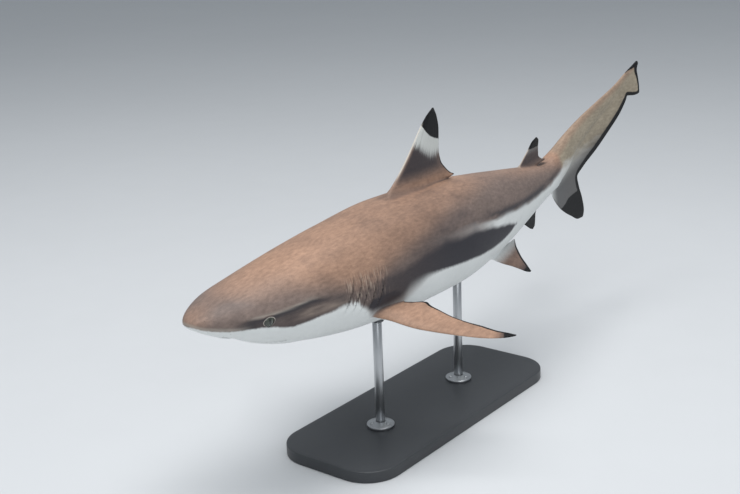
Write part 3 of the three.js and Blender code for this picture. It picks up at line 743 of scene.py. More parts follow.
class BodyGrid:
    """The rings of the body and tail, and the openings that are cut into them."""

    def __init__(self, skin):
        self.skin = skin
        stations = [FIRST_SECTION]
        spacing = curve_through(SECTION_SPACING)
        while stations[-1] < TAIL_START:
            stations.append(stations[-1] + float(spacing(stations[-1])))
        self.s = np.array(stations) * TAIL_START / stations[-1]
        self.turns = full_turn(AROUND)
        s, turn = self.s[:, None], self.turns[None, :]
        body = skin_point(s, turn)
        run = ventral_run[-1] * np.arange(1, TAIL_SECTIONS + 1) / TAIL_SECTIONS
        tail = tail_point(run[:, None], turn)
        for _ in range(TAIL_SMOOTHING):
            side = tail[..., 1]
            side = (np.roll(side, 1, 1) + 2 * side + np.roll(side, -1, 1)) / 4
            tail[1:-1, :, 1] = (side[:-2] + 2 * side[1:-1] + side[2:]) / 4
        ids = [skin.add(body, **body_marks(body)), skin.add(tail, **tail_marks(tail, run[:, None]))]
        self.ids = np.concatenate(ids).reshape(-1, AROUND)
        self.covered = np.zeros((len(self.ids) - 1, AROUND), bool)

    def open(self, loops, margin=6.0):
        """Refits the skin between the body's rings round closed loops of vertices that lie on it.

        A loop is its vertices, and their s and turn. Quads that the loops reach are dropped, and what is
        left round the loops is filled with triangles.
        """
        s_all = np.concatenate([loop[1] for loop in loops])
        turn_all = np.concatenate([loop[2] for loop in loops])
        step = 2 * math.pi / AROUND
        first_row = int(np.searchsorted(self.s, s_all.min() - margin)) - 1
        last_row = int(np.searchsorted(self.s, s_all.max() + margin)) + 1
        first_turn, last_turn = math.floor(turn_all.min() / step) - 2, math.ceil(turn_all.max() / step) + 2
        rows, columns = np.arange(first_row, last_row + 1), np.arange(first_turn, last_turn + 1)
        run = arc_length(s_all.mean(), columns * step)
        row, col = (a.ravel() for a in np.meshgrid(rows, columns, indexing="ij"))
        flat = np.stack([self.s[row], run(col * step)], 1)
        outlines = [np.stack([s, run(turn)], 1) for _, s, turn in loops]
        keep = np.ones(len(flat), bool)
        for outline in outlines:
            side = np.linalg.norm(np.roll(outline, -1, axis=0) - outline, axis=1).mean()
            keep &= ~within(flat, outline) & (distance_to(flat, outline) > CLEARANCE * min(side, LONG_SIDE))
        on_edge = (row == rows[0]) | (row == rows[-1]) | (col == columns[0]) | (col == columns[-1])
        if not keep[on_edge].all():
            raise ValueError("an opening reaches the edge of its patch")
        ids = self.ids[row[keep], col[keep] % AROUND].tolist()
        flat_points = flat[keep].tolist()
        edges = []
        for (vertices, _, _), outline in zip(loops, outlines):
            start, count = len(ids), len(vertices)
            edges += [(start + i, start + (i + 1) % count) for i in range(count)]
            ids += list(vertices)
            flat_points += outline.tolist()
        made = delaunay_2d_cdt([Vector(p) for p in flat_points], edges, [], 0, 1e-5)
        corners, triangles, origin = made[0], np.array(made[2]), made[3]
        if any(len(source) != 1 for source in origin):
            raise ValueError("an opening's outline crosses itself or another")
        middles = np.array([list(p) for p in corners])[triangles].mean(1)
        hidden = np.any([within(middles, outline) for outline in outlines], axis=0)
        source = np.array([ids[o[0]] for o in origin])
        self.skin.faces += source[triangles[~hidden]].tolist()
        self.covered[first_row:last_row, np.arange(first_turn, last_turn) % AROUND] = True

    def finish(self):
        """The quads that no opening took, and the two ends."""
        skin = self.skin
        for i, k in zip(*np.nonzero(~self.covered)):
            a, b = self.ids[i, k], self.ids[i, (k + 1) % AROUND]
            skin.faces.append([a, b, self.ids[i + 1, (k + 1) % AROUND], self.ids[i + 1, k]])
        tip = skin.points[0][:AROUND].mean(0) * [0, 0, 1]
        skin.cap(self.ids[0], tip, **body_marks(tip))
        last = tail_point(np.full(AROUND, ventral_run[-1]), self.turns)
        skin.cap(self.ids[-1], last.mean(0) + [0.8, 0, 0.6], black=8, fin=1)


# -------------------- openings of the head


def mirrored_turn(turn, hand):
    """The left side's turns on the left, and their mirror image on the right."""
    return turn if hand > 0 else 2 * math.pi - turn


def make_eye_opening(skin, hand):
    """The lids: a raised rim round the ball, rolled in behind it."""
    angle = full_turn(LID_POINTS)
    # Painted highlight on the lid's rim: bright on top, faint below.
    lit = mix(0.2, 1, ramp(np.sin(angle - 0.3), -0.7, 0.5))
    sections, loop = [], ()
    for share, height, rim, crease in LID:
        s = EYE_OPENING["s"] + share * EYE_OPENING["length"] * np.cos(angle)
        z = EYE_OPENING["z"] + share * EYE_OPENING["height"] * np.sin(angle)
        turn = mirrored_turn(turn_at_height(s, z), hand)
        point = skin_point(s, turn) + body_normal(s, turn) * height
        sections.append((point, body_marks(point) | {"rim": rim * lit, "crease": crease}))
        loop = loop or (s, turn)
    first, last = skin.tunnel(sections)
    skin.cap(last, [EYE["s"], -hand * (EYE["y"] - LID_BACK), EYE["z"]], crease=1)
    return first, *loop


def make_nostril(skin, hand):
    """A slanted, curved slot with a flap on its inner side."""
    n = NOSTRIL
    angle = full_turn(NOSTRIL_POINTS)
    lean = math.radians(n["turn"])
    sections, loop = [], ()
    for share, deep, crease in NOSTRIL_RINGS:
        along = share * n["length"] * np.cos(angle)
        across = share * n["width"] * np.sin(angle) + n["curve"] * along**2 - n["shift"]
        s = n["s"] + along * math.cos(lean) - across * math.sin(lean)
        y = n["y"] + along * math.sin(lean) + across * math.cos(lean)
        turn = mirrored_turn(turn_at_width(s, y, True), hand)
        point = skin_point(s, turn) - body_normal(s, turn) * deep
        sections.append((point, body_marks(point) | {"crease": crease}))
        loop = loop or (s, turn)
    first, last = skin.tunnel(sections)
    turn = float(mirrored_turn(turn_at_width(n["s"], n["y"], True), hand))
    skin.cap(last, skin_point(n["s"], turn) - body_normal(n["s"], turn) * n["depth"], crease=1)
    return first, *loop


def make_slit(skin, t, s, turn, gape, depth, forward):
    """A slit along the line s, turn, open by gape on each side and less towards its ends, t = 0 and 1."""
    centre, normal = skin_point(s, turn), body_normal(s, turn)
    across = unit(np.cross(normal, np.gradient(centre, axis=0)))
    apart = across * (gape * np.sqrt(np.clip(np.sin(math.pi * t), 0, 1)) + LEAST_GAPE)[:, None]
    back = slice(-2, 0, -1)  # the way home, without the two ends
    middle = np.r_[centre, centre[back]]
    lips = np.r_[centre[:1], (centre + apart)[1:-1], centre[-1:], (centre - apart)[back]]
    inward = -np.r_[normal, normal[back]] + [-forward, 0, 0]
    marks = body_marks(lips)
    first, last = skin.tunnel([
        (middle + (lips - middle) * share + inward * depth * deep, marks | {"crease": crease})
        for share, deep, crease in SLIT_RINGS
    ])
    skin.zip(last)
    return first, lips[:, 0], turn_of(lips, True)


def make_gills(skin, hand):
    """The gill slits of one side, each running in and forward under its flap."""
    t = np.linspace(0, 1, GILLS["points"])
    loops = []
    for i in range(GILLS["count"]):
        s, z = gill_slit(i, t)
        turn = mirrored_turn(turn_at_height(s, z), hand)
        loops.append(make_slit(skin, t, s, turn, GILLS["gape"], GILLS["depth"], GILLS["forward"]))
    return loops


def make_mouth(skin):
    """The closed mouth: one curved slit on the underside, from corner to corner."""
    m = MOUTH
    t = np.linspace(0, 1, m["points"])
    y = -m["half_width"] * np.cos(math.pi * t)
    s = mouth_front(y)
    turn = turn_at_width(s, y, True)
    turn = np.where(y <= 0, turn, 2 * math.pi - turn)
    return make_slit(skin, t, s, turn, m["gape"], m["depth"], 0)


# -------------------- fins


class Fin:
    """One fin: its outline against the span, its sections, and the ring where it leaves the body."""

    def __init__(self, name, hand=1):
        self.name, self.hand, self.size = name, hand, FINS[name]
        size = self.size
        self.lead, self.trail = curve_through(size["lead"]), curve_through(size["trail"])
        self.inner, self.outer = size["lead"][0][0], size["lead"][-1][0]
        share = (1 - np.cos(np.linspace(0, math.pi, size["around"]))) / 2
        self.share = np.r_[share, share[:0:-1]]
        self.side = np.r_[np.ones(len(share)), -np.ones(len(share) - 1)]
        if "at" in size:
            droop = math.radians(size["droop"])
            self.at, self.back = np.array(size["at"], float), unit(np.array(size["chord"], float))
            out = np.array([0, -math.cos(droop), -math.sin(droop)])
            self.out = unit(out - self.back * (out @ self.back))
            self.over = np.cross(self.out, self.back)
        else:
            self.at, self.back = np.zeros(3), np.array([1.0, 0, 0])
            self.out, self.over = np.array([0, 0, float(size["up"])]), np.array([0, 1.0, 0])

    def half(self, span):
        """Half thickness of the outline's points at span."""
        grown = np.clip((span - self.inner) / (self.outer - self.inner), 0, 1) ** SPAN_TAPER
        thick = mix(self.size["root"], self.size["tip"], grown)
        nose = thick * np.sqrt(np.clip(1 - (1 - self.share / FIN_WIDEST) ** 2, 0, 1))
        behind = np.clip((self.share - FIN_WIDEST) / (1 - FIN_WIDEST), 0, 1) ** FIN_TAPER
        return np.where(self.share < FIN_WIDEST, nose, mix(thick, FIN_EDGE, behind))

    def flat(self, span, bulge=(0, 0)):
        """Chord position and side of the outline's points at span, moved by bulge."""
        chord = mix(self.lead(span), self.trail(span), self.share)
        return chord + bulge[0], self.side * self.half(span) + bulge[1]

    def place(self, chord, span, side):
        chord, span, side = (np.asarray(a, float)[..., None] for a in (chord, span, side))
        return (self.at + self.back * chord + self.out * span + self.over * side) * [1, self.hand, 1]

    def outline(self, span, bulge=(0, 0)):
        """The outline's points at span, in the body frame."""
        chord, side = self.flat(span, bulge)
        return self.place(chord, span + 0 * chord, side)

    def leaves_body(self, bulge=(0, 0)):
        """The span at which each line of the outline comes out of the body."""
        spans = np.linspace(self.inner, mix(self.inner, self.outer, 0.6), SPAN_SAMPLES)[:, None]
        first = np.argmax(outside(self.outline(spans, bulge)) > 0, axis=0)
        low, high = spans[np.maximum(first - 1, 0), 0], spans[first, 0]
        for _ in range(HALVINGS):
            middle = (low + high) / 2
            beyond = outside(self.outline(middle, bulge)) > 0
            low, high = np.where(beyond, low, middle), np.where(beyond, middle, high)
        return (low + high) / 2

    def normals(self, span):
        """The outline's outward directions, along the chord and to the side."""
        chord, side = self.flat(span)
        ahead, over = (np.roll(a, -1) - np.roll(a, 1) for a in (chord, side))
        length = np.hypot(ahead, over)
        return -over / length, ahead / length

    def marks(self, span):
        """The fin's own markings round its outline at span, with some painted highlight and painted shade."""
        name, chord = self.name, self.flat(span)[0]
        marks = {"white": OFF, "melt": 3, "dusk": 20, "soft": 8, "pale": OFF, "low": 0.4, "fin": 1}
        marks["ray"] = self.share * FIN_RAYS
        across = np.maximum(self.trail(span) - self.lead(span), 0)
        to_lead, to_trail = self.share * across, (1 - self.share) * across
        above = self.side > 0
        if name == "first_dorsal_fin":
            edge = span - curve_through(FIRST_DORSAL_BLACK)(chord)
            marks["black"] = np.maximum(edge, 3.0 * ramp(span, 144, 122) - to_trail)
            marks["bright"] = 0.85 * ramp(span - curve_through(FIRST_DORSAL_WHITE)(chord), -18, 20)
            # A painted highlight along the leading edge.
            marks["rim"] = 0.9 * hump(to_lead, 1.7) * stretch(span, 112, 136, 196, 205)
            inner = ramp(span, 103, 132) * ramp(to_lead, 1, 9) * mix(0.5, 1, ramp(to_trail, 0, 24))
            marks["deep"] = 0.86 * inner
            marks["low"] = mix(0.05, 0.8, ramp(span, 98, 128))
        elif name == "second_dorsal_fin":
            marks["black"] = span - SECOND_DORSAL_BLACK
            marks["bright"] = 0.3 * ramp(SECOND_DORSAL_BLACK - span, 22, 0)
            # A painted highlight along the leading edge.
            marks["rim"] = 0.6 * hump(to_lead, 1.5) * ramp(span, 80, 76)
            marks["deep"] = 0.74 * ramp(span, 38, 56) * ramp(to_lead, 1, 6)
            marks["low"] = 0.9
        elif name == "anal_fin":
            marks["black"] = span - ANAL_BLACK
            marks["white"], marks["dusk"] = 12, OFF
        elif name == "pectoral_fin":
            b = PECTORAL_BLACK
            tip = (chord - b["chord"]) * b["lean"][0] + (span - b["span"]) * b["lean"][1]
            edge = mix(5.5, 2.6, ramp(span, 16, 50)) + 1.6 * ramp(span, 80, 130)
            marks["black"] = np.maximum(tip, edge - to_trail)
            marks["white"] = np.where(above, -14.0, 14.0)
            marks["deep"] = 0.75 * ramp(tip, -16, 0)
            marks["low"] = 0.0
        else:
            tip = span - PELVIC_BLACK
            marks["black"] = np.maximum(tip, 7.5 * ramp(span, 2, 16) - to_trail)
            marks["white"] = np.where(above, 6 - 0.5 * span, 14.0)
            marks["melt"] = 8
            # Painted shade over the whole pelvic fin, darker still towards its black tip.
            marks["deep"] = mix(0.42, 0.8, ramp(tip, -16, 0))
        return marks


def blended(body, fin, t):
    """Markings between the body's and the fin's."""
    names = set(body) | set(fin)
    return {name: mix(np.asarray(body.get(name, 0.0)), np.asarray(fin.get(name, 0.0)), t) for name in names}


def make_fin(skin, name, hand=1):
    """A fin that grows out of the skin through a hollow fillet."""
    fin = Fin(name, hand)
    leave = fin.leaves_body()
    front, rear = fin.size["fillet"]
    fillet = mix(front, rear, fin.share**FILLET_FADE)
    bulge = [out * fillet for out in fin.normals(leave)]
    foot = fin.outline(fin.leaves_body(bulge), bulge)
    turn = turn_of(foot, fin.size.get("up", -1) < 0)
    foot = skin_point(foot[:, 0], turn)
    corner, start = fin.outline(leave), fin.outline(leave + fillet)
    on_body, on_fin = body_marks(foot), fin.marks(leave + fillet)
    sections = [(foot, on_body)]
    for t in FILLET_STEPS:
        point = foot * (1 - t) ** 2 + corner * (2 * t * (1 - t)) + start * t**2
        sections.append((point, blended(on_body, on_fin, t)))
    rings = fin.size["rings"]
    for share in (np.arange(rings + 1) / rings) ** FIN_BUNCHING:
        span = mix(leave + fillet, fin.outer, share)
        sections.append((fin.outline(span), fin.marks(span)))
    first, last = skin.tunnel(sections)
    skin.cap(last, fin.place(fin.flat(span)[0].mean(), fin.outer + 0.6, 0), black=8, fin=1)
    return first, foot[:, 0], turn


def make_skin_mesh():
    skin = Skin()
    grid = BodyGrid(skin)
    for name in ("first_dorsal_fin", "second_dorsal_fin", "anal_fin"):
        grid.open([make_fin(skin, name)])
    grid.open([make_mouth(skin)])
    for hand in (1, -1):
        grid.open([make_eye_opening(skin, hand)], margin=3)
        grid.open([make_nostril(skin, hand)], margin=3)
        grid.open([*make_gills(skin, hand), make_fin(skin, "pectoral_fin", hand)])
        grid.open([make_fin(skin, "pelvic_fin", hand)])
    grid.finish()
    return skin


# -------------------- placing pieces


def finish_piece(piece, material, slot, *replaced):
    """Gives a finished mesh its material and its place in the part."""
    piece.data.materials.clear()
    piece.data.materials.append(material)
    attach(piece, "root")
    if replaced:
        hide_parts(*replaced)


def piece_from(name, points, faces):
    """A smooth mesh, linked to the scene."""
    mesh = bpy.data.meshes.new(name)
    mesh.from_pydata([tuple(p) for p in points], [], [[int(v) for v in face] for face in faces])
    mesh.polygons.foreach_set("use_smooth", [True] * len(mesh.polygons))
    piece = bpy.data.objects.new(name, mesh)
    bpy.context.collection.objects.link(piece)
    return piece


def turn_outward(piece):
    """Drops points that no face uses, and makes every face point outwards."""
    work = bmesh.new()
    work.from_mesh(piece.data)
    bmesh.ops.delete(work, geom=[v for v in work.verts if not v.link_faces], context="VERTS")
    bmesh.ops.recalc_face_normals(work, faces=work.faces)
    work.to_mesh(piece.data)
    work.free()


def closed_piece(name, rings, joined=False):
    """A closed mesh through rings of points in their places. A ring may be one point. The last ring is
    joined to the first, or both are closed by flat faces."""
    starts = np.cumsum([0] + [len(ring) for ring in rings])
    loops = [np.arange(start, end) for start, end in zip(starts, starts[1:])]
    faces = []
    for ring, following in zip(loops, loops[1:] + loops[:1] * joined):
        if len(ring) == 1:
            faces += fan(following, ring[0])
        elif len(following) == 1:
            faces += fan(ring, following[0])
        else:
            faces += quads(ring, following)
    if not joined:
        faces += [loop for loop in (loops[0], loops[-1]) if len(loop) > 1]
    piece = piece_from(name, np.concatenate(rings), faces)
    turn_outward(piece)
    return piece


def set_attribute(piece, name, kind, values):
    """Stores a value, or a vector, with every point of a piece."""
    data = piece.data.attributes.new(name, kind, "POINT").data
    data.foreach_set("vector" if kind == "FLOAT_VECTOR" else "value", np.ravel(values))


def make_skin():
    skin = make_skin_mesh()
    straight, marks = np.concatenate(skin.points), np.concatenate(skin.marks)
    piece = piece_from("shark_skin", swim(straight), skin.faces)
    set_attribute(piece, "straight", "FLOAT_VECTOR", straight * MM)
    for name, values in zip(MARKS, marks.T):
        set_attribute(piece, name, "FLOAT", values)
    turn_outward(piece)
    return piece


def make_eye(name, hand):
    """A smooth ball with a slight bulge in front. "gaze" is the direction of each point seen from its
    middle: x back along the head, y up and z out."""
    polar = np.linspace(0, math.pi, EYE_ROWS + 1)[:, None]
    around = full_turn(EYE_COLUMNS)
    rows = np.sin(polar) * np.cos(around), np.sin(polar) * np.sin(around), np.cos(polar) + 0 * around
    front, *rows, rear = np.stack(rows, -1)
    rows = [front[:1], *rows, rear[:1]]
    turn = float(mirrored_turn(turn_at_height(EYE["s"], EYE["z"]), hand))
    out = body_normal(EYE["s"], turn)
    up = unit(np.array([0, 0, 1.0]) - out * out[2])
    back = unit(np.cross(up, out)) * hand
    back = back if back[0] > 0 else -back
    middle = np.array([EYE["s"], -hand * EYE["y"], EYE["z"]])
    rings = []
    for gaze in rows:
        radius = EYE["radius"] + CORNEA_BULGE * hump(np.arccos(gaze[:, 2:]), CORNEA_WIDTH)
        rings.append(swim(middle + radius * (gaze @ np.stack([back, up, out]))))
    piece = closed_piece(name, rings)
    set_attribute(piece, "gaze", "FLOAT_VECTOR", np.concatenate(rows))
    return piece


# -------------------- stand


def belly_at(s, y):
    """Height above the floor of the belly's skin at station s and y from the middle."""
    top, bottom, half = body_station(s)
    reach = (1 - np.abs(y / half) ** SECTION_POWER) ** (1 / SECTION_POWER)
    return BACKBONE_HEIGHT + mix(bottom, top, WIDEST) - reach * WIDEST * (top - bottom)


def turned(name, station, profile):
    """A piece turned round the upright at station, from rows of radius, height and whether that height is
    measured from the belly's skin. It is solid where the profile starts and ends at radius 0, else a tube."""
    angle = full_turn(TURNED_SIDES)
    rings = []
    for radius, height, from_belly in profile:
        s, y = station + radius * np.cos(angle), radius * np.sin(angle)
        z = height - BACKBONE_HEIGHT + (belly_at(s, y) if from_belly else 0 * s)
        rings.append(swim(np.stack([s, y, z], 1)[: TURNED_SIDES if radius else 1]))
    return closed_piece(name, rings, joined=profile[0][0] > 0)


def rod_profile():
    """A round rod from the base to just under the belly."""
    r, foot = ROD_RADIUS, BASE["thickness"]
    return [
        (0, foot, 0), (r - 0.6, foot, 0), (r, foot + 0.6, 0), (r, -2.2, 1), (r - 0.6, -1.6, 1), (0, -1.6, 1),
    ]


def collar_profile():
    """A ring with a sloping top round the foot of a rod."""
    foot, r = BASE["thickness"], ROD_RADIUS + ROD_PLAY
    outer, high = COLLAR["radius"], COLLAR["height"]
    return [
        (r, foot, 0), (outer - 0.5, foot, 0), (outer, foot + 0.5, 0), (outer, foot + high / 2 - 0.9, 0),
        (outer - 0.3, foot + high / 2 - 0.2, 0), (outer - 1.1, foot + high / 2 + 0.3, 0),
        (r + 1.6, foot + high - 0.6, 0), (r + 0.9, foot + high - 0.3, 0), (r + 0.3, foot + high - 0.4, 0),
        (r, foot + high - 0.9, 0),
    ]


def saddle_profile(belly):
    """A cup round the head of a rod, shaped to the belly."""
    r, radius = ROD_RADIUS + ROD_PLAY, SADDLE["radius"]
    foot, shoulder = belly + SADDLE["foot"], belly + SADDLE["shoulder"]
    return [
        (r, foot + 0.4, 0), (r + 0.5, foot, 0), (r + 2.6, foot, 0), (r + 3.3, foot + 0.3, 0),
        (r + 3.8, foot + 1.0, 0), (radius - 1.3, shoulder - 1.6, 0), (radius - 0.3, shoulder - 0.3, 0),
        (radius, shoulder + 0.8, 0), (radius, -1.1, 1), (radius - 0.3, -0.5, 1), (radius - 1.0, -0.25, 1),
        (radius - 5, -0.2, 1), (r, -0.2, 1),
    ]


def make_base():
    """A flat plate with round corners and softly rounded edges."""
    length, width, thickness, corner = (BASE[name] for name in ("length", "width", "thickness", "corner"))
    quarter = np.linspace(0, math.pi / 2, 17)
    rings = []
    # Inset and height of the rounded lower edge, and the same upside down.
    edge = [(9, 0), (2.0, 0), (1.2, 0.15), (0.5, 0.6), (0.1, 1.3), (0, 2)]
    for inset, height in edge + [(inset, thickness - height) for inset, height in edge[::-1]]:
        r = corner - inset
        outline = []
        for i, (side_x, side_y) in enumerate(((1, 1), (-1, 1), (-1, -1), (1, -1))):
            angle = quarter + i * math.pi / 2
            x = side_x * (length / 2 - corner) + r * np.cos(angle)
            y = side_y * (width / 2 - corner) + r * np.sin(angle)
            outline.append(np.stack([x, y, np.full(len(x), height)], 1))
        rings.append(np.concatenate(outline) * MM)
    return closed_piece("base_plate", rings)


def make_screw():
    """One button head screw with a six-sided socket, standing on z = 0, to be placed many times."""
    angle = full_turn(SCREWS["sides"])
    six = math.cos(math.pi / 6) / np.cos((angle + math.pi / 6) % (math.pi / 3) - math.pi / 6)
    # Radius, height and whether the row is in the socket.
    rows = [(3.2, -0.4, 0), (3.2, 0.35, 0), (3.0, 0.9, 0), (2.5, 1.4, 0), (1.7, 1.75, 0), (1.35, 1.8, 1),
            (1.3, 0.7, 1)]
    rings = []
    for radius, height, in_socket in rows:
        r = radius * (six if in_socket else 1)
        rings.append(np.stack([r * np.cos(angle), r * np.sin(angle), 0 * angle + height], 1) * MM)
    return closed_piece("screw", rings)


def screw_circle_tree():
    """Geometry nodes: at each given point, a circle of screws that lean outwards with the collar's slope."""
    tree = bpy.data.node_groups.new("screw_circles", "GeometryNodeTree")
    for label, kind in (("Centres", "Geometry"), ("Screw", "Object"), ("Count", "Int"), ("Radius", "Float"),
                        ("Lean", "Float"), ("First Angle", "Float"), ("Material", "Material")):
        tree.interface.new_socket(label, in_out="INPUT", socket_type="NodeSocket" + kind)
    tree.interface.new_socket("Screws", in_out="OUTPUT", socket_type="NodeSocketGeometry")
    given, result = tree.nodes.new("NodeGroupInput").outputs, tree.nodes.new("NodeGroupOutput").inputs
    share = calc(tree, "DIVIDE", add_node(tree, "GeometryNodeInputIndex").outputs[0], given["Count"])
    angle = calc(tree, "ADD", calc(tree, "MULTIPLY", share, 2 * math.pi), given["First Angle"])
    x = calc(tree, "MULTIPLY", given["Radius"], calc(tree, "COSINE", angle))
    y = calc(tree, "MULTIPLY", given["Radius"], calc(tree, "SINE", angle))
    place = add_node(tree, "ShaderNodeCombineXYZ", {0: x, 1: y}).outputs[0]
    dots = add_node(tree, "GeometryNodePoints", {"Count": given["Count"], "Position": place}).outputs[0]
    turn = add_node(tree, "ShaderNodeCombineXYZ", {1: given["Lean"], 2: angle}).outputs[0]
    screw = add_node(tree, "GeometryNodeObjectInfo", {"Object": given["Screw"]}).outputs["Geometry"]
    one = {"Points": dots, "Instance": screw, "Rotation": turn}
    circle = add_node(tree, "GeometryNodeInstanceOnPoints", one).outputs[0]
    all_over = {"Points": given["Centres"], "Instance": circle}
    circles = add_node(tree, "GeometryNodeInstanceOnPoints", all_over).outputs[0]
    real = add_node(tree, "GeometryNodeRealizeInstances", {0: circles})
    steel = {"Geometry": real.outputs[0], "Material": given["Material"]}
    tree.links.new(add_node(tree, "GeometryNodeSetMaterial", steel).outputs[0], result["Screws"])
    return tree


def make_screws():
    """The screws that hold both collars to the base, as one mesh."""
    slope = math.atan2(COLLAR["height"] / 2, COLLAR["radius"] - ROD_RADIUS)
    rise = COLLAR["height"] / 2 + (COLLAR["radius"] - SCREWS["circle"]) * math.tan(slope)
    height = BASE["thickness"] + rise - BACKBONE_HEIGHT
    centres = [(s, 0, height) for s in ROD_STATIONS.values()]
    carrier = piece_from("collar_screws", swim(centres), [])
    screw = make_screw()
    grown = carrier.modifiers.new("screws", "NODES")
    grown.node_group = screw_circle_tree()
    values = {"Screw": screw, "Count": SCREWS["count"], "Radius": SCREWS["circle"] * MM, "Lean": slope,
              "First Angle": SCREWS["first_angle"], "Material": steel_material}
    for item in grown.node_group.interface.items_tree:
        if item.name in values:
            grown[item.identifier] = values[item.name]
    evaluated = carrier.evaluated_get(bpy.context.evaluated_depsgraph_get())
    made = bpy.data.meshes.new_from_object(evaluated)
    carrier.modifiers.clear()
    carrier.data = made
    bpy.data.objects.remove(screw)
    return carrier


# -------------------- building materials


def paint_of(red, green, blue):
    """A linear colour from its everyday 0 to 255 numbers."""
    return (*(((c / 255 + 0.055) / 1.055) ** 2.4 if c > 10 else c / 3300 for c in (red, green, blue)), 1.0)


def fill(tree, node, inputs):
    """Fills a node's inputs, by name or number, with values or links."""
    for key, value in dict(inputs).items():
        if isinstance(value, bpy.types.NodeSocket):
            tree.links.new(value, node.inputs[key])
        else:
            node.inputs[key].default_value = value


def add_node(tree, kind, inputs=(), **settings):
    node = tree.nodes.new(kind)
    for name, value in settings.items():
        setattr(node, name, value)
    fill(tree, node, inputs)
    return node


def calc(tree, operation, *values):
    return add_node(tree, "ShaderNodeMath", enumerate(values), operation=operation).outputs[0]


def chain(tree, operation, first, *others):
    """The operation on all the values, one after another."""
    for value in others:
        first = calc(tree, operation, first, value)
    return first


def between(tree, value, low, high):
    """0 below low, 1 above high and smooth between them, or the other way round."""
    inputs = {"Value": value, "From Min": low, "From Max": high}
    return add_node(tree, "ShaderNodeMapRange", inputs, interpolation_type="SMOOTHSTEP").outputs[0]


def painted(tree, mask, under, over):
    """The colour over where mask is 1, and under where it is 0."""
    return add_node(tree, "ShaderNodeMix", {0: mask, 6: under, 7: over}, data_type="RGBA").outputs[2]


def spread(tree, value, low, high):
    """From low where the value is 0 to high where it is 1."""
    return add_node(tree, "ShaderNodeMapRange", {"Value": value, "To Min": low, "To Max": high}).outputs[0]


def noise(tree, position, scale, detail=2.0):
    inputs = {"Vector": position, "Scale": scale, "Detail": detail}
    return add_node(tree, "ShaderNodeTexNoise", inputs).outputs[0]


def attribute(tree, name, output="Fac"):
    return add_node(tree, "ShaderNodeAttribute", attribute_name=name).outputs[output]


def stretched(tree, position, scale):
    return add_node(tree, "ShaderNodeMapping", {"Vector": position, "Scale": scale}).outputs[0]


def new_material(name):
    """A new material with a plain Principled surface. Returns it, its tree and the surface."""
    material = bpy.data.materials.new(name)
    material.use_nodes = True
    tree = material.node_tree
    return material, tree, tree.nodes["Principled BSDF"]


def new_group(name, inputs, outputs):
    """A shader node group. inputs are name: (kind, value), outputs name: kind."""
    tree = bpy.data.node_groups.new(name, "ShaderNodeTree")
    for label, (kind, value) in inputs.items():
        socket = tree.interface.new_socket(label, in_out="INPUT", socket_type="NodeSocket" + kind)
        if value is not None:
            socket.default_value = value
    for label, kind in outputs.items():
        tree.interface.new_socket(label, in_out="OUTPUT", socket_type="NodeSocket" + kind)
    return tree, tree.nodes.new("NodeGroupInput").outputs, tree.nodes.new("NodeGroupOutput").inputs


def use_group(tree, group, **inputs):
    return add_node(tree, "ShaderNodeGroup", inputs, node_tree=group).outputs


def uneven_colour_group():
    """Clouds of lighter and darker colour at two sizes, one eight times the other."""
    inputs = {
        "Colour": ("Color", (0.5, 0.5, 0.5, 1)), "Position": ("Vector", None), "Scale": ("Float", 10.0),
        "Amount": ("Float", 0.2),
    }
    tree, given, result = new_group("uneven_colour", inputs, {"Colour": "Color", "Cloud": "Float"})
    large = noise(tree, given["Position"], given["Scale"], 3.0)
    small = noise(tree, given["Position"], calc(tree, "MULTIPLY", given["Scale"], 8.0), 3.0)
    cloud = calc(tree, "ADD", calc(tree, "MULTIPLY", large, 0.6), calc(tree, "MULTIPLY", small, 0.4))
    swing = calc(tree, "MULTIPLY", calc(tree, "SUBTRACT", cloud, 0.5), given["Amount"])
    value = calc(tree, "ADD", 1.0, calc(tree, "MULTIPLY", swing, 2.0))
    shade = add_node(tree, "ShaderNodeHueSaturation", {"Value": value, "Color": given["Colour"]})
    tree.links.new(shade.outputs[0], result["Colour"])
    tree.links.new(cloud, result["Cloud"])
    return tree


def fine_grain_group():
    """Tiny closely packed bumps, as of shark scales or sprayed paint. Scale is their number in a metre."""
    inputs = {"Position": ("Vector", None), "Scale": ("Float", 500.0), "Softness": ("Float", 0.5)}
    tree, given, result = new_group("fine_grain", inputs, {"Height": "Float"})
    cell = add_node(tree, "ShaderNodeTexVoronoi", {"Vector": given["Position"], "Scale": given["Scale"]},
                    feature="SMOOTH_F1")
    bump = calc(tree, "SUBTRACT", 1.0, cell.outputs["Distance"])
    soft = noise(tree, given["Position"], calc(tree, "MULTIPLY", given["Scale"], 0.4))
    tree.links.new(calc(tree, "ADD", bump, calc(tree, "MULTIPLY", soft, given["Softness"])), result["Height"])
    return tree


uneven_colour = uneven_colour_group()
fine_grain = fine_grain_group()


def raised(tree, height, distance, strength, normal=None):
    """The normal over a relief, on top of another normal if one is given."""
    inputs = {"Height": height, "Distance": distance, "Strength": strength}
    if normal is not None:
        inputs["Normal"] = normal
    return add_node(tree, "ShaderNodeBump", inputs).outputs[0]


# -------------------- finishes

TAN = paint_of(163, 130, 109)
# The greyer flank: partly the skin's own colour, partly painted shade.
FLANK_TAN_AND_SHADE = paint_of(117, 102, 95)
# The dusky band's colour, also used for painted shade.
DUSK_AND_SHADE = paint_of(47, 45, 51)
WHITE = paint_of(224, 226, 224)
BLACK = paint_of(9, 9, 11)
TAIL_TAN = paint_of(160, 148, 129)
BRIGHT = paint_of(206, 208, 204)
# Painted highlight along rims and edges.
RIM_HIGHLIGHT = paint_of(206, 198, 186)
# Painted shade deep in folds and openings.
CREASE_SHADE = paint_of(30, 27, 29)
GILL_LIGHT = paint_of(186, 168, 152)
IRIS = paint_of(60, 64, 55)
IRIS_EDGE = paint_of(30, 32, 30)
PUPIL_BLACK = paint_of(8, 9, 10)
BASE_PAINT = paint_of(58, 60, 63)
STEEL = paint_of(184, 186, 188)
PAPER = paint_of(204, 206, 208)


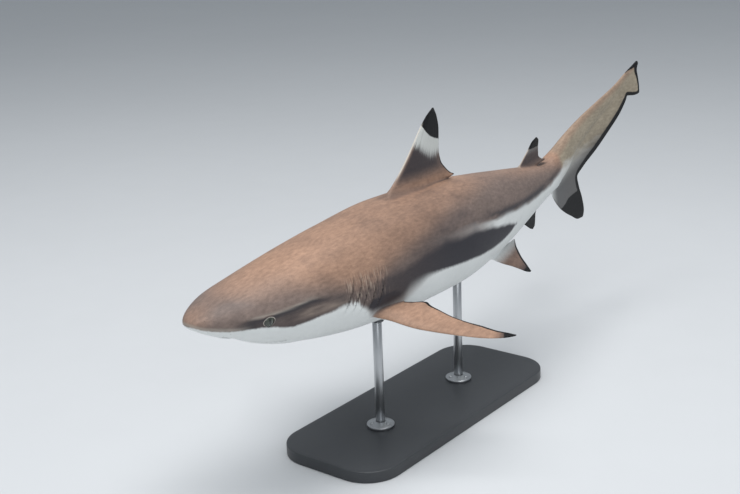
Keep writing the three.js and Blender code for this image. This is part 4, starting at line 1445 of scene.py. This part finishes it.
def skin_finish():
    """Tan back, dusky cheek and flank, white belly and black fin tips over a fine satin grain."""
    material, tree, surface = new_material("reef_shark_skin")
    place = attribute(tree, "straight", "Vector")
    marks = {name: attribute(tree, name) for name in MARKS}

    def sway(amount, scale, along=1.0, detail=2.0):
        """Noise between plus and minus amount, drawn out along the fish where along is small."""
        cloud = noise(tree, stretched(tree, place, (along, 1.0, 1.0)), scale, detail)
        return calc(tree, "MULTIPLY", calc(tree, "SUBTRACT", cloud, 0.5), 2 * amount)

    def total(*values):
        return chain(tree, "ADD", *values)

    def product(*values):
        return chain(tree, "MULTIPLY", *values)

    wander, ragged, streaks = sway(5.0, 24.0), sway(1.3, 220.0, detail=3.0), sway(7.0, 70.0, 0.18, 3.0)
    folds = sway(1.0, 52.0, 7.6, 2.0)  # upright folds over the gills
    along, _, height = add_node(tree, "ShaderNodeSeparateXYZ", {0: place}).outputs
    rays = add_node(tree, "ShaderNodeCombineXYZ", {0: marks["ray"], 1: calc(tree, "MULTIPLY", height, 12.0)})
    ray_noise = calc(tree, "SUBTRACT", noise(tree, rays.outputs[0], 1.1, 3.0), 0.5)

    # The tan, greyer down the sides partly as painted shade, with clouds, streaks and grain.
    colour = painted(tree, marks["low"], TAN, FLANK_TAN_AND_SHADE)
    colour = painted(tree, marks["sand"], colour, TAIL_TAN)
    clouds = use_group(tree, uneven_colour, Colour=colour, Position=stretched(tree, place, (0.4, 1.0, 1.0)),
                       Scale=22.0, Amount=0.4)
    slanted = stretched(tree, place, (0.45, 1.0, 1.0))
    colour = use_group(tree, uneven_colour, Colour=clouds["Colour"], Position=slanted, Scale=230.0,
                       Amount=0.62)["Colour"]
    # Painted highlights on the crests of the gill folds and painted shade in their troughs, following their
    # bumps.
    fold_highlights = product(marks["gill"], between(tree, folds, 0.02, 0.32))
    fold_shade = product(marks["gill"], between(tree, folds, -0.02, -0.34))
    colour = painted(tree, product(fold_highlights, 0.55), colour, GILL_LIGHT)
    colour = painted(tree, product(fold_shade, 0.42), colour, DUSK_AND_SHADE)

    # The pale band and the white below, with the dusky band and its painted shade between them.
    pale = product(between(tree, total(marks["pale"], wander, streaks), -5.0, 6.0), marks["fade"])
    colour = painted(tree, pale, colour, WHITE)
    fringe = product(marks["fringe"], between(tree, streaks, -5.0, 0.5))
    colour = painted(tree, fringe, colour, DUSK_AND_SHADE)
    into_dusk = calc(tree, "DIVIDE", total(marks["dusk"], wander, product(streaks, 0.4)), marks["soft"])
    colour = painted(tree, product(between(tree, into_dusk, -1.0, 0.7), marks["deep"]), colour, DUSK_AND_SHADE)
    streak = product(marks["streak"], between(tree, streaks, -4.0, 1.5))
    colour = painted(tree, product(streak, 0.8), colour, GILL_LIGHT)
    gill_rag = product(marks["gill"], folds, 16.0)
    into_white = total(marks["white"], product(wander, 0.3), ragged, gill_rag)
    white = between(tree, calc(tree, "DIVIDE", into_white, marks["melt"]), -0.9, 0.9)
    belly = use_group(tree, uneven_colour, Colour=WHITE, Position=place, Scale=14.0, Amount=0.07)["Colour"]
    colour = painted(tree, white, colour, belly)

    # Fin tips and edges, painted highlights on rims and edges, and painted shade deep in folds and openings.
    bright = between(tree, total(marks["bright"], product(ray_noise, 1.5)), 0.1, 0.8)
    bright = product(bright, between(tree, marks["bright"], 0.0, 0.4))
    colour = painted(tree, bright, colour, BRIGHT)
    into_black = total(marks["black"], product(wander, 0.16), ragged)
    colour = painted(tree, between(tree, into_black, -1.4, 1.2), colour, BLACK)
    # Painted shade in the pores of the snout, as dark dots.
    dots = add_node(tree, "ShaderNodeTexVoronoi", {"Vector": place, "Scale": 150.0}).outputs["Distance"]
    pores = product(between(tree, dots, 0.13, 0.06), between(tree, along, 0.115, 0.06), 0.45)
    colour = painted(tree, pores, colour, CREASE_SHADE)
    # Painted highlights along the lid's rim, the brow's edge, the snout's lip and the fins' leading edges,
    # then painted shade deep in folds and openings.
    colour = painted(tree, marks["rim"], colour, RIM_HIGHLIGHT)
    colour = painted(tree, marks["crease"], colour, CREASE_SHADE)

    grain = use_group(tree, fine_grain, Position=place, Scale=700.0, Softness=0.6)["Height"]
    fine = raised(tree, grain, 0.00035, 0.6)
    creased = raised(tree, product(folds, marks["gill"]), 0.0007, 0.9, fine)
    rayed = raised(tree, product(ray_noise, marks["fin"]), 0.0006, 0.6, creased)
    fill(tree, surface, {
        "Base Color": colour, "Roughness": spread(tree, clouds["Cloud"], 0.46, 0.62), "Normal": rayed,
        "Specular IOR Level": 0.27, "Coat Weight": 0.03, "Coat Roughness": 0.3,
    })
    return material


def eye_finish():
    """A greenish grey iris, an upright slit pupil and a wet shine."""
    material, tree, surface = new_material("wet_eye")
    gaze = attribute(tree, "gaze", "Vector")
    x, y, _ = add_node(tree, "ShaderNodeSeparateXYZ", {0: gaze}).outputs
    off = calc(tree, "SQRT", calc(tree, "ADD", calc(tree, "MULTIPLY", x, x), calc(tree, "MULTIPLY", y, y)))
    slit = calc(tree, "SUBTRACT", PUPIL["width"], calc(tree, "ABSOLUTE", x))
    narrow = chain(tree, "MULTIPLY", y, y, PUPIL["width"] / PUPIL["height"] ** 2)
    pupil = between(tree, calc(tree, "SUBTRACT", slit, narrow), 0.0, 0.02)
    iris = use_group(tree, uneven_colour, Colour=IRIS, Position=gaze, Scale=6.0, Amount=0.7)
    colour = painted(tree, between(tree, off, 0.4, 0.66), iris["Colour"], IRIS_EDGE)
    colour = painted(tree, pupil, colour, PUPIL_BLACK)
    fill(tree, surface, {"Base Color": colour, "Roughness": 0.2, "Coat Weight": 0.5, "Coat Roughness": 0.04})
    return material


def base_finish():
    """Dark grey satin paint with a fine orange peel."""
    material, tree, surface = new_material("satin_base_paint")
    place = add_node(tree, "ShaderNodeTexCoord").outputs["Object"]
    paint = use_group(tree, uneven_colour, Colour=BASE_PAINT, Position=place, Scale=9.0, Amount=0.12)
    grain = use_group(tree, fine_grain, Position=place, Scale=700.0, Softness=1.0)["Height"]
    fill(tree, surface, {
        "Base Color": paint["Colour"], "Roughness": spread(tree, paint["Cloud"], 0.36, 0.5),
        "Normal": raised(tree, grain, 0.00008, 0.35),
    })
    return material


def steel_finish():
    """Stainless steel brushed round its length."""
    material, tree, surface = new_material("brushed_steel")
    place = add_node(tree, "ShaderNodeTexCoord").outputs["Object"]
    brushed = stretched(tree, place, (1.0, 1.0, 42.0))
    steel = use_group(tree, uneven_colour, Colour=STEEL, Position=brushed, Scale=30.0, Amount=0.1)
    fill(tree, surface, {
        "Base Color": steel["Colour"], "Roughness": spread(tree, steel["Cloud"], 0.22, 0.42),
        "Normal": raised(tree, noise(tree, brushed, 60.0, 4.0), 0.00005, 0.5), "Metallic": 1.0,
    })
    return material


# -------------------- the dressed part

skin_material, eye_material = skin_finish(), eye_finish()
base_material, steel_material = base_finish(), steel_finish()

FLESH = [
    "head", "lower_jaw", "trunk_front", "trunk_rear", "tail_stalk", "caudal_fin_upper_lobe",
    "caudal_fin_lower_lobe", "first_dorsal_fin", "second_dorsal_fin", "anal_fin", "pectoral_fin_left",
    "pectoral_fin_right", "pelvic_fin_left", "pelvic_fin_right",
]
finish_piece(make_skin(), skin_material, "skin", *FLESH)
for hand, side in ((1, "left"), (-1, "right")):
    finish_piece(make_eye("eyeball_" + side, hand), eye_material, "eye", "eye_" + side)
finish_piece(make_base(), base_material, "base", "stand_base")
for end, station in ROD_STATIONS.items():
    belly = float(bottom_of(station)) + BACKBONE_HEIGHT
    profiles = {"rod": rod_profile(), "collar": collar_profile(), "saddle": saddle_profile(belly)}
    for part, profile in profiles.items():
        piece = turned(f"{part}_{end}", station, profile)
        finish_piece(piece, steel_material, "steel", f"stand_{part}_{end}")
finish_piece(make_screws(), steel_material, "steel")

# -------------------- studio


FLOOR = 40  # half its length
# Each lamp's place, width and height, power and colour. They point at LAMP_TARGET.
LAMPS = {
    "overhead": ((-0.5, -0.3, 4.0), (3.6, 2.6), 165, (1, 1, 1)),
    "camera_side": ((-2.2, -2.6, 1.6), (2.0, 1.4), 16, (0.94, 0.97, 1.0)),
}
LAMP_TARGET = (0, 0, 0.3)
SKY = {"Color": (0.86, 0.93, 1.0, 1), "Strength": 0.42}


def area_light(name, place, size, power, colour):
    light = bpy.data.lights.new(name, "AREA")
    light.shape, light.size, light.size_y = "RECTANGLE", *size
    light.energy, light.color = power, colour
    lamp = bpy.data.objects.new(name, light)
    turn = (Vector(place) - Vector(LAMP_TARGET)).to_track_quat("Z", "Y").to_matrix()
    lamp.matrix_world = Matrix.Translation(place) @ turn.to_4x4()
    bpy.context.collection.objects.link(lamp)


def studio():
    corners = [(x * FLOOR, y * FLOOR, 0) for x, y in ((-1, -1), (1, -1), (1, 1), (-1, 1))]
    floor = piece_from("studio_floor", corners, [(0, 1, 2, 3)])
    material, tree, surface = new_material("pale_floor")
    place = add_node(tree, "ShaderNodeTexCoord").outputs["Object"]
    paper = use_group(tree, uneven_colour, Colour=PAPER, Position=place, Scale=1.2, Amount=0.03)
    fill(tree, surface, {"Base Color": paper["Colour"], "Roughness": 0.85})
    floor.data.materials.append(material)
    world = bpy.data.worlds.new("studio")
    world.use_nodes = True
    fill(world.node_tree, world.node_tree.nodes["Background"], SKY)
    bpy.context.scene.world = world
    for name, lamp in LAMPS.items():
        area_light(name, *lamp)


def camera():
    azimuth, elevation, roll = (math.radians(CAMERA[name]) for name in ("azimuth", "elevation", "roll"))
    forward = Vector((-math.sin(azimuth) * math.cos(elevation), math.cos(azimuth) * math.cos(elevation),
                      -math.sin(elevation)))
    level = forward.cross(Vector((0, 0, 1))).normalized()
    upright = level.cross(forward)
    right = level * math.cos(roll) + upright * math.sin(roll)
    up = right.cross(forward)
    lens = bpy.data.cameras.new("camera")
    lens.lens, lens.sensor_width, lens.clip_end = CAMERA["lens"], 36, 200
    eye = bpy.data.objects.new("camera", lens)
    turn = Matrix((right, up, -forward)).transposed()
    eye.matrix_world = Matrix.Translation(CAMERA["place"]) @ turn.to_4x4()
    bpy.context.collection.objects.link(eye)
    bpy.context.scene.camera = eye


studio()
camera()
bpy.context.scene.view_settings.view_transform = "Standard"
